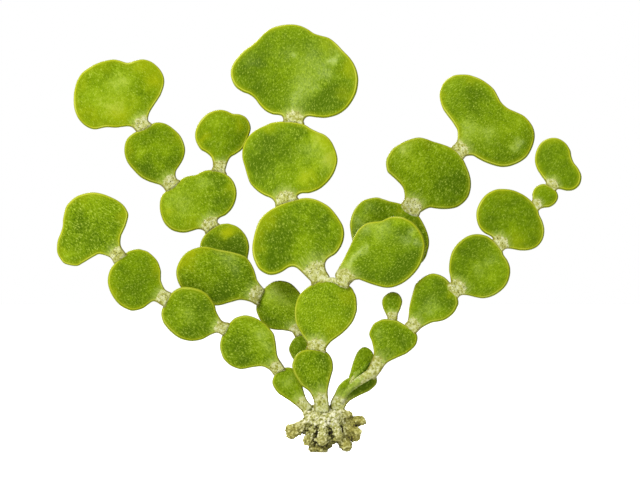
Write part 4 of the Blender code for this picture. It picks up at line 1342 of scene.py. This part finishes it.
BACK = [
    [(320, 430, 4.0, 2.0), (319, 438, 5.8, 1.6), (315.5, 448.4, 6.8, 1.2)],
    [(324, 434, 4.2, 2.0), (323, 448.4, 5.6, 1.2)],
    [(337, 430, 3.6, 2.0), (345, 446.4, 6.2, 1.7)],
    [(326, 424, 4.6, 1.8), (331, 432, 7.0, 1.6)],
    [(344, 428, 2.8, 1.4), (349.5, 432, 2.6, 1.3), (350, 437.6, 2.2, 1.1)],
    [(349, 424, 2.8, 1.2), (355, 426, 2.4, 1.0)],
    [(316, 432, 0.8, 1.3), (306, 430, 1.0, 1.5)],
    [(316, 428, -0.3, 1.2), (316, 436, -0.2, 1.3)],
    [(329.5, 427, -0.9, 1.3), (330.5, 435, -0.7, 1.4), (331, 441, -0.2, 1.1)],
    [(344, 428, -0.2, 1.3), (346, 437, 0.0, 1.3)],
]


def slimmer(rows, by):
    """The same rows, with every ball's radius made smaller."""
    return [[(column, row, depth, radius - by) for column, row, depth, radius in balls] for balls in rows]


# The grains add a skin of their own, so the balls under them are slimmer by its thickness.
ROWS = CROWN + FINGERS + [[knob] for knob in KNOBS] + BACK
holdfast = grown_together("holdfast_fingers", slimmer(ROWS, SKIN_OF_GRAINS), FINGER_VOXEL)
print("fingers:", len(holdfast.data.polygons), "faces before the grains")

# %% [markdown]
# ## Chalk grains
#
# The fingers' skin is granular. Geometry Nodes scatter small balls of different sizes over it and sink them
# in by a share of their size. A second remesh joins them with the skin, so no ball is left loose inside.

# %% Scatter grains over the fingers
LUMPS = {"Grain Spacing": 1.05, "Smallest Grain": 0.3, "Largest Grain": 0.66, "Sunk Share": 0.3, "Seed": 8}
GRAINS = {"Grain Spacing": 0.6, "Smallest Grain": 0.12, "Largest Grain": 0.36, "Sunk Share": 0.1, "Seed": 5}
GRAIN_DENSITY = 12.0
GRAIN_VOXEL = 0.16
LUMPS_ROUNDS = 2
GRAINS_ROUNDS = 1


def grain_tree(material):
    """Round grains of different sizes on the surface, kept together with it."""
    tree, given = modifier_tree("Grains on the holdfast", [key for key in GRAINS if key != "Seed"])
    scatter = scattered(tree, given["Geometry"], given, given["Grain Spacing"])
    scatter.inputs["Density Max"].default_value = GRAIN_DENSITY / MM ** 2
    size = tree.node("FunctionNodeRandomValue", {"data_type": "FLOAT"})
    tree.feed(size.inputs[2], tree.times(given["Smallest Grain"], MM))
    tree.feed(size.inputs[3], tree.times(given["Largest Grain"], MM))
    tree.feed(size.inputs["Seed"], given["Seed"])
    sink = tree.times(size.outputs[1], tree.times(given["Sunk Share"], -1.0))
    offset = tree.vector("SCALE", scatter.outputs["Normal"], scale=sink)
    ball = tree.node("GeometryNodeMeshIcoSphere", Radius=1.0, Subdivisions=2).outputs[0]
    grains = tree.node("GeometryNodeInstanceOnPoints", Points=scatter.outputs["Points"], Instance=ball,
                       Scale=size.outputs[1]).outputs[0]
    grains = tree.node("GeometryNodeTranslateInstances", Instances=grains, Translation=offset,
                       Local_Space=False)
    both = tree.node("GeometryNodeJoinGeometry")
    tree.feed(both.inputs[0], grains.outputs[0])
    tree.feed(both.inputs[0], given["Geometry"])
    return finish_tree(tree, both.outputs[0], material)


# %% Cut the base flat, and note how each point lies
FLOOR_LEVEL = 0.0
VIEW_DIRECTIONS = 10
VIEW_START = 0.3
VIEW_LENGTH = 4.0
GOLDEN_ANGLE = math.pi * (3 - math.sqrt(5))
CROWN_MIDDLE = Vector((0.9, -0.5, 9.0)) * MM


def cut_at_floor(thing):
    cut = bmesh.new()
    cut.from_mesh(thing.data)
    everything = cut.verts[:] + cut.edges[:] + cut.faces[:]
    bmesh.ops.bisect_plane(cut, geom=everything, plane_co=(0, 0, FLOOR_LEVEL), plane_no=(0, 0, 1),
                           clear_inner=True)
    bmesh.ops.holes_fill(cut, edges=[edge for edge in cut.edges if edge.is_boundary], sides=0)
    bmesh.ops.triangulate(cut, faces=[face for face in cut.faces if len(face.verts) > 4])
    cut.to_mesh(thing.data)
    cut.free()


def spread_directions(count):
    """Directions spread evenly over a half ball round Z."""
    directions = []
    for index in range(count):
        up = (index + 0.5) / count
        turn = index * GOLDEN_ANGLE
        flat = math.sqrt(1 - up * up)
        directions.append(Vector((flat * math.cos(turn), flat * math.sin(turn), up)))
    return directions


def openness(thing, skin):
    """The share of directions in which each point sees no other part of the skin close by."""
    directions = spread_directions(VIEW_DIRECTIONS)
    shares = []
    for vert in thing.data.vertices:
        turn = vert.normal.to_track_quat("Z", "Y")
        start = vert.co + vert.normal * VIEW_START * MM
        free = sum(skin.ray_cast(start, turn @ way, VIEW_LENGTH * MM)[0] is None for way in directions)
        shares.append(free / len(directions))
    return np.array(shares)


def grain_height(thing, skin):
    """How far each point stands out from the fingers' skin, in millimetres."""
    heights = []
    for vert in thing.data.vertices:
        nearest, normal, _, distance = skin.find_nearest(vert.co)
        heights.append(math.copysign(distance / MM, (vert.co - nearest).dot(normal)))
    return np.array(heights)


def from_crown(thing):
    """How far each point is from the middle of the crown, in millimetres."""
    return np.array([(vert.co - CROWN_MIDDLE).length for vert in thing.data.vertices]) / MM


# %% [markdown]
# ## The chalk of the holdfast
#
# The chalk is cream with a green tinge at the crown and browner at the fingers' tips. In the gaps between
# them, where little light comes, it is painted dark as shade. How open a point lies tells the gaps apart.
# Grains that stand out are painted paler as light, and the hollows between them darker as shade, and blots
# break the colour up. Each row of colours runs from the darkest to the palest, with the level at which it
# is reached.

# %% The holdfast's material
CHALK = ((0.0, srgb(56, 46, 4)), (0.2, srgb(122, 116, 26)), (0.38, srgb(170, 171, 78)),
         (0.55, srgb(210, 208, 134)), (0.76, srgb(250, 247, 208)))
TIPS = ((0.0, srgb(48, 38, 2)), (0.2, srgb(104, 94, 14)), (0.4, srgb(146, 140, 42)),
        (0.6, srgb(184, 178, 80)), (0.85, srgb(232, 228, 150)))
BLOT_STRENGTH = 1.9
GRAIN_PAINTED_LIGHT_AND_SHADE = (0.05, 0.6, -0.12, 0.32)
PALER_IN_THE_OPEN = (0.25, 1.0, 0.02, 0.62)
TIPS_BEGIN = (4.0, 9.5)


def chalk_material():
    material, surface = new_material("holdfast_chalk")
    paint = Paint(material)
    blots = paint.off_middle(paint.spots(size=0.9, detail=3.0, roughness=0.8), BLOT_STRENGTH)
    # Painted shade: darker where a point lies less open, as in the gaps between the fingers.
    level = paint.ease(paint.attribute("open"), *PALER_IN_THE_OPEN)
    # Painted light and shade on the grains: paler where they stand out, darker in the hollows between them.
    for part in (blots, paint.ease(paint.attribute("height"), *GRAIN_PAINTED_LIGHT_AND_SHADE)):
        level = paint.plus(level, part)
    far = paint.ease(paint.attribute("far"), *TIPS_BEGIN)
    colour = paint.over(paint.ramp(level, *CHALK), paint.ramp(level, *TIPS), far)
    paint.feed(surface.inputs["Base Color"], colour)
    paint.bump(surface, paint.spots(size=0.35, detail=3.0, roughness=0.6), strength=0.6)
    surface.inputs["Roughness"].default_value = 0.85
    surface.inputs["Specular IOR Level"].default_value = 0.2
    return material


# %% Put the holdfast together
CHALKY = chalk_material()
smooth_skin = bmesh.new()
smooth_skin.from_mesh(holdfast.data)
finger_skin = BVHTree.FromBMesh(smooth_skin)
smooth_skin.free()

SCATTER = grain_tree(CHALKY)
for sizes, voxel, rounds in ((LUMPS, FINGER_VOXEL, LUMPS_ROUNDS), (GRAINS, GRAIN_VOXEL, GRAINS_ROUNDS)):
    scatter = holdfast.modifiers.new("grains", "NODES")
    set_inputs(scatter, SCATTER, sizes)
    joined_skin(holdfast, voxel, rounds)
cut_at_floor(holdfast)
add_attributes(holdfast.data, {
    "open": openness(holdfast, finger_skin),
    "height": grain_height(holdfast, finger_skin),
    "far": from_crown(holdfast),
})
finish_piece(holdfast, CHALKY)
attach(holdfast, BODY)
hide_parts(HOLDFAST)
print("holdfast with", len(holdfast.data.polygons), "faces")

# %% [markdown]
# ## Floor, light and camera
#
# The plant stands against pure white, so the floor and the world are both white. A large soft lamp from
# above and a little to the left shapes the blades: it lights their upper edges and leaves the lower ones
# darker. The camera looks level at the open side of the plant, from far away with a long lens, as the flat
# picture asks for.

# %% Floor and world
FLOOR_HALF = 6.0
FLOOR_DROP = 0.0002
FLOOR_PAINT = (0.9, 0.9, 0.9, 1.0)
FLOOR_GLOW = 0.35
WORLD_STRENGTH = 1.0


def build_floor():
    corners = [(-FLOOR_HALF, -FLOOR_HALF), (FLOOR_HALF, -FLOOR_HALF), (FLOOR_HALF, FLOOR_HALF),
               (-FLOOR_HALF, FLOOR_HALF)]
    mesh = bpy.data.meshes.new("floor")
    mesh.from_pydata([(across, deep, -FLOOR_DROP) for across, deep in corners], [], [(0, 1, 2, 3)])
    floor = place_object("floor", mesh)
    material, surface = new_material("white_floor")
    surface.inputs["Base Color"].default_value = FLOOR_PAINT
    surface.inputs["Roughness"].default_value = 1.0
    surface.inputs["Emission Color"].default_value = WHITE
    surface.inputs["Emission Strength"].default_value = FLOOR_GLOW
    mesh.materials.append(material)


def build_world():
    world = bpy.data.worlds.new("white_studio")
    world.use_nodes = True
    sky = world.node_tree.nodes["Background"]
    sky.inputs["Color"].default_value = WHITE
    sky.inputs["Strength"].default_value = WORLD_STRENGTH
    bpy.context.scene.world = world
    bpy.context.scene.view_settings.view_transform = "Standard"


build_floor()
build_world()

# %% Lamps and camera
MIDDLE_ROW = 240
PICTURE_COLUMNS = 640
PLANT_MIDDLE = Vector((0.0, 0.0, (FLOOR_ROW - MIDDLE_ROW) * SQUARE * MM))
PICTURE_WIDTH = PICTURE_COLUMNS * SQUARE * MM
LENS = 500
SENSOR = 36
FAR_ENOUGH = 100


def soft_lamp(name, place, size, power):
    """A square lamp that shines at the middle of the plant. Lengths are in metres, and power is in watts."""
    light = bpy.data.lights.new(name, "AREA")
    light.size = size
    light.energy = power
    lamp = place_object(name, light)
    lamp.location = place
    lamp.rotation_euler = (PLANT_MIDDLE - lamp.location).to_track_quat("-Z", "Y").to_euler()


def build_camera():
    lens = bpy.data.cameras.new("camera")
    lens.lens = LENS
    lens.sensor_width = SENSOR
    lens.clip_end = FAR_ENOUGH
    camera = place_object("camera", lens)
    camera.location = PLANT_MIDDLE + Vector((0, -PICTURE_WIDTH * LENS / SENSOR, 0))
    camera.rotation_euler = (math.pi / 2, 0, 0)
    bpy.context.scene.camera = camera


soft_lamp("key_lamp", place=(-0.35, -0.55, 0.65), size=0.35, power=26.0)
soft_lamp("back_lamp", place=(-0.35, 0.75, 0.45), size=0.5, power=18.0)
build_camera()
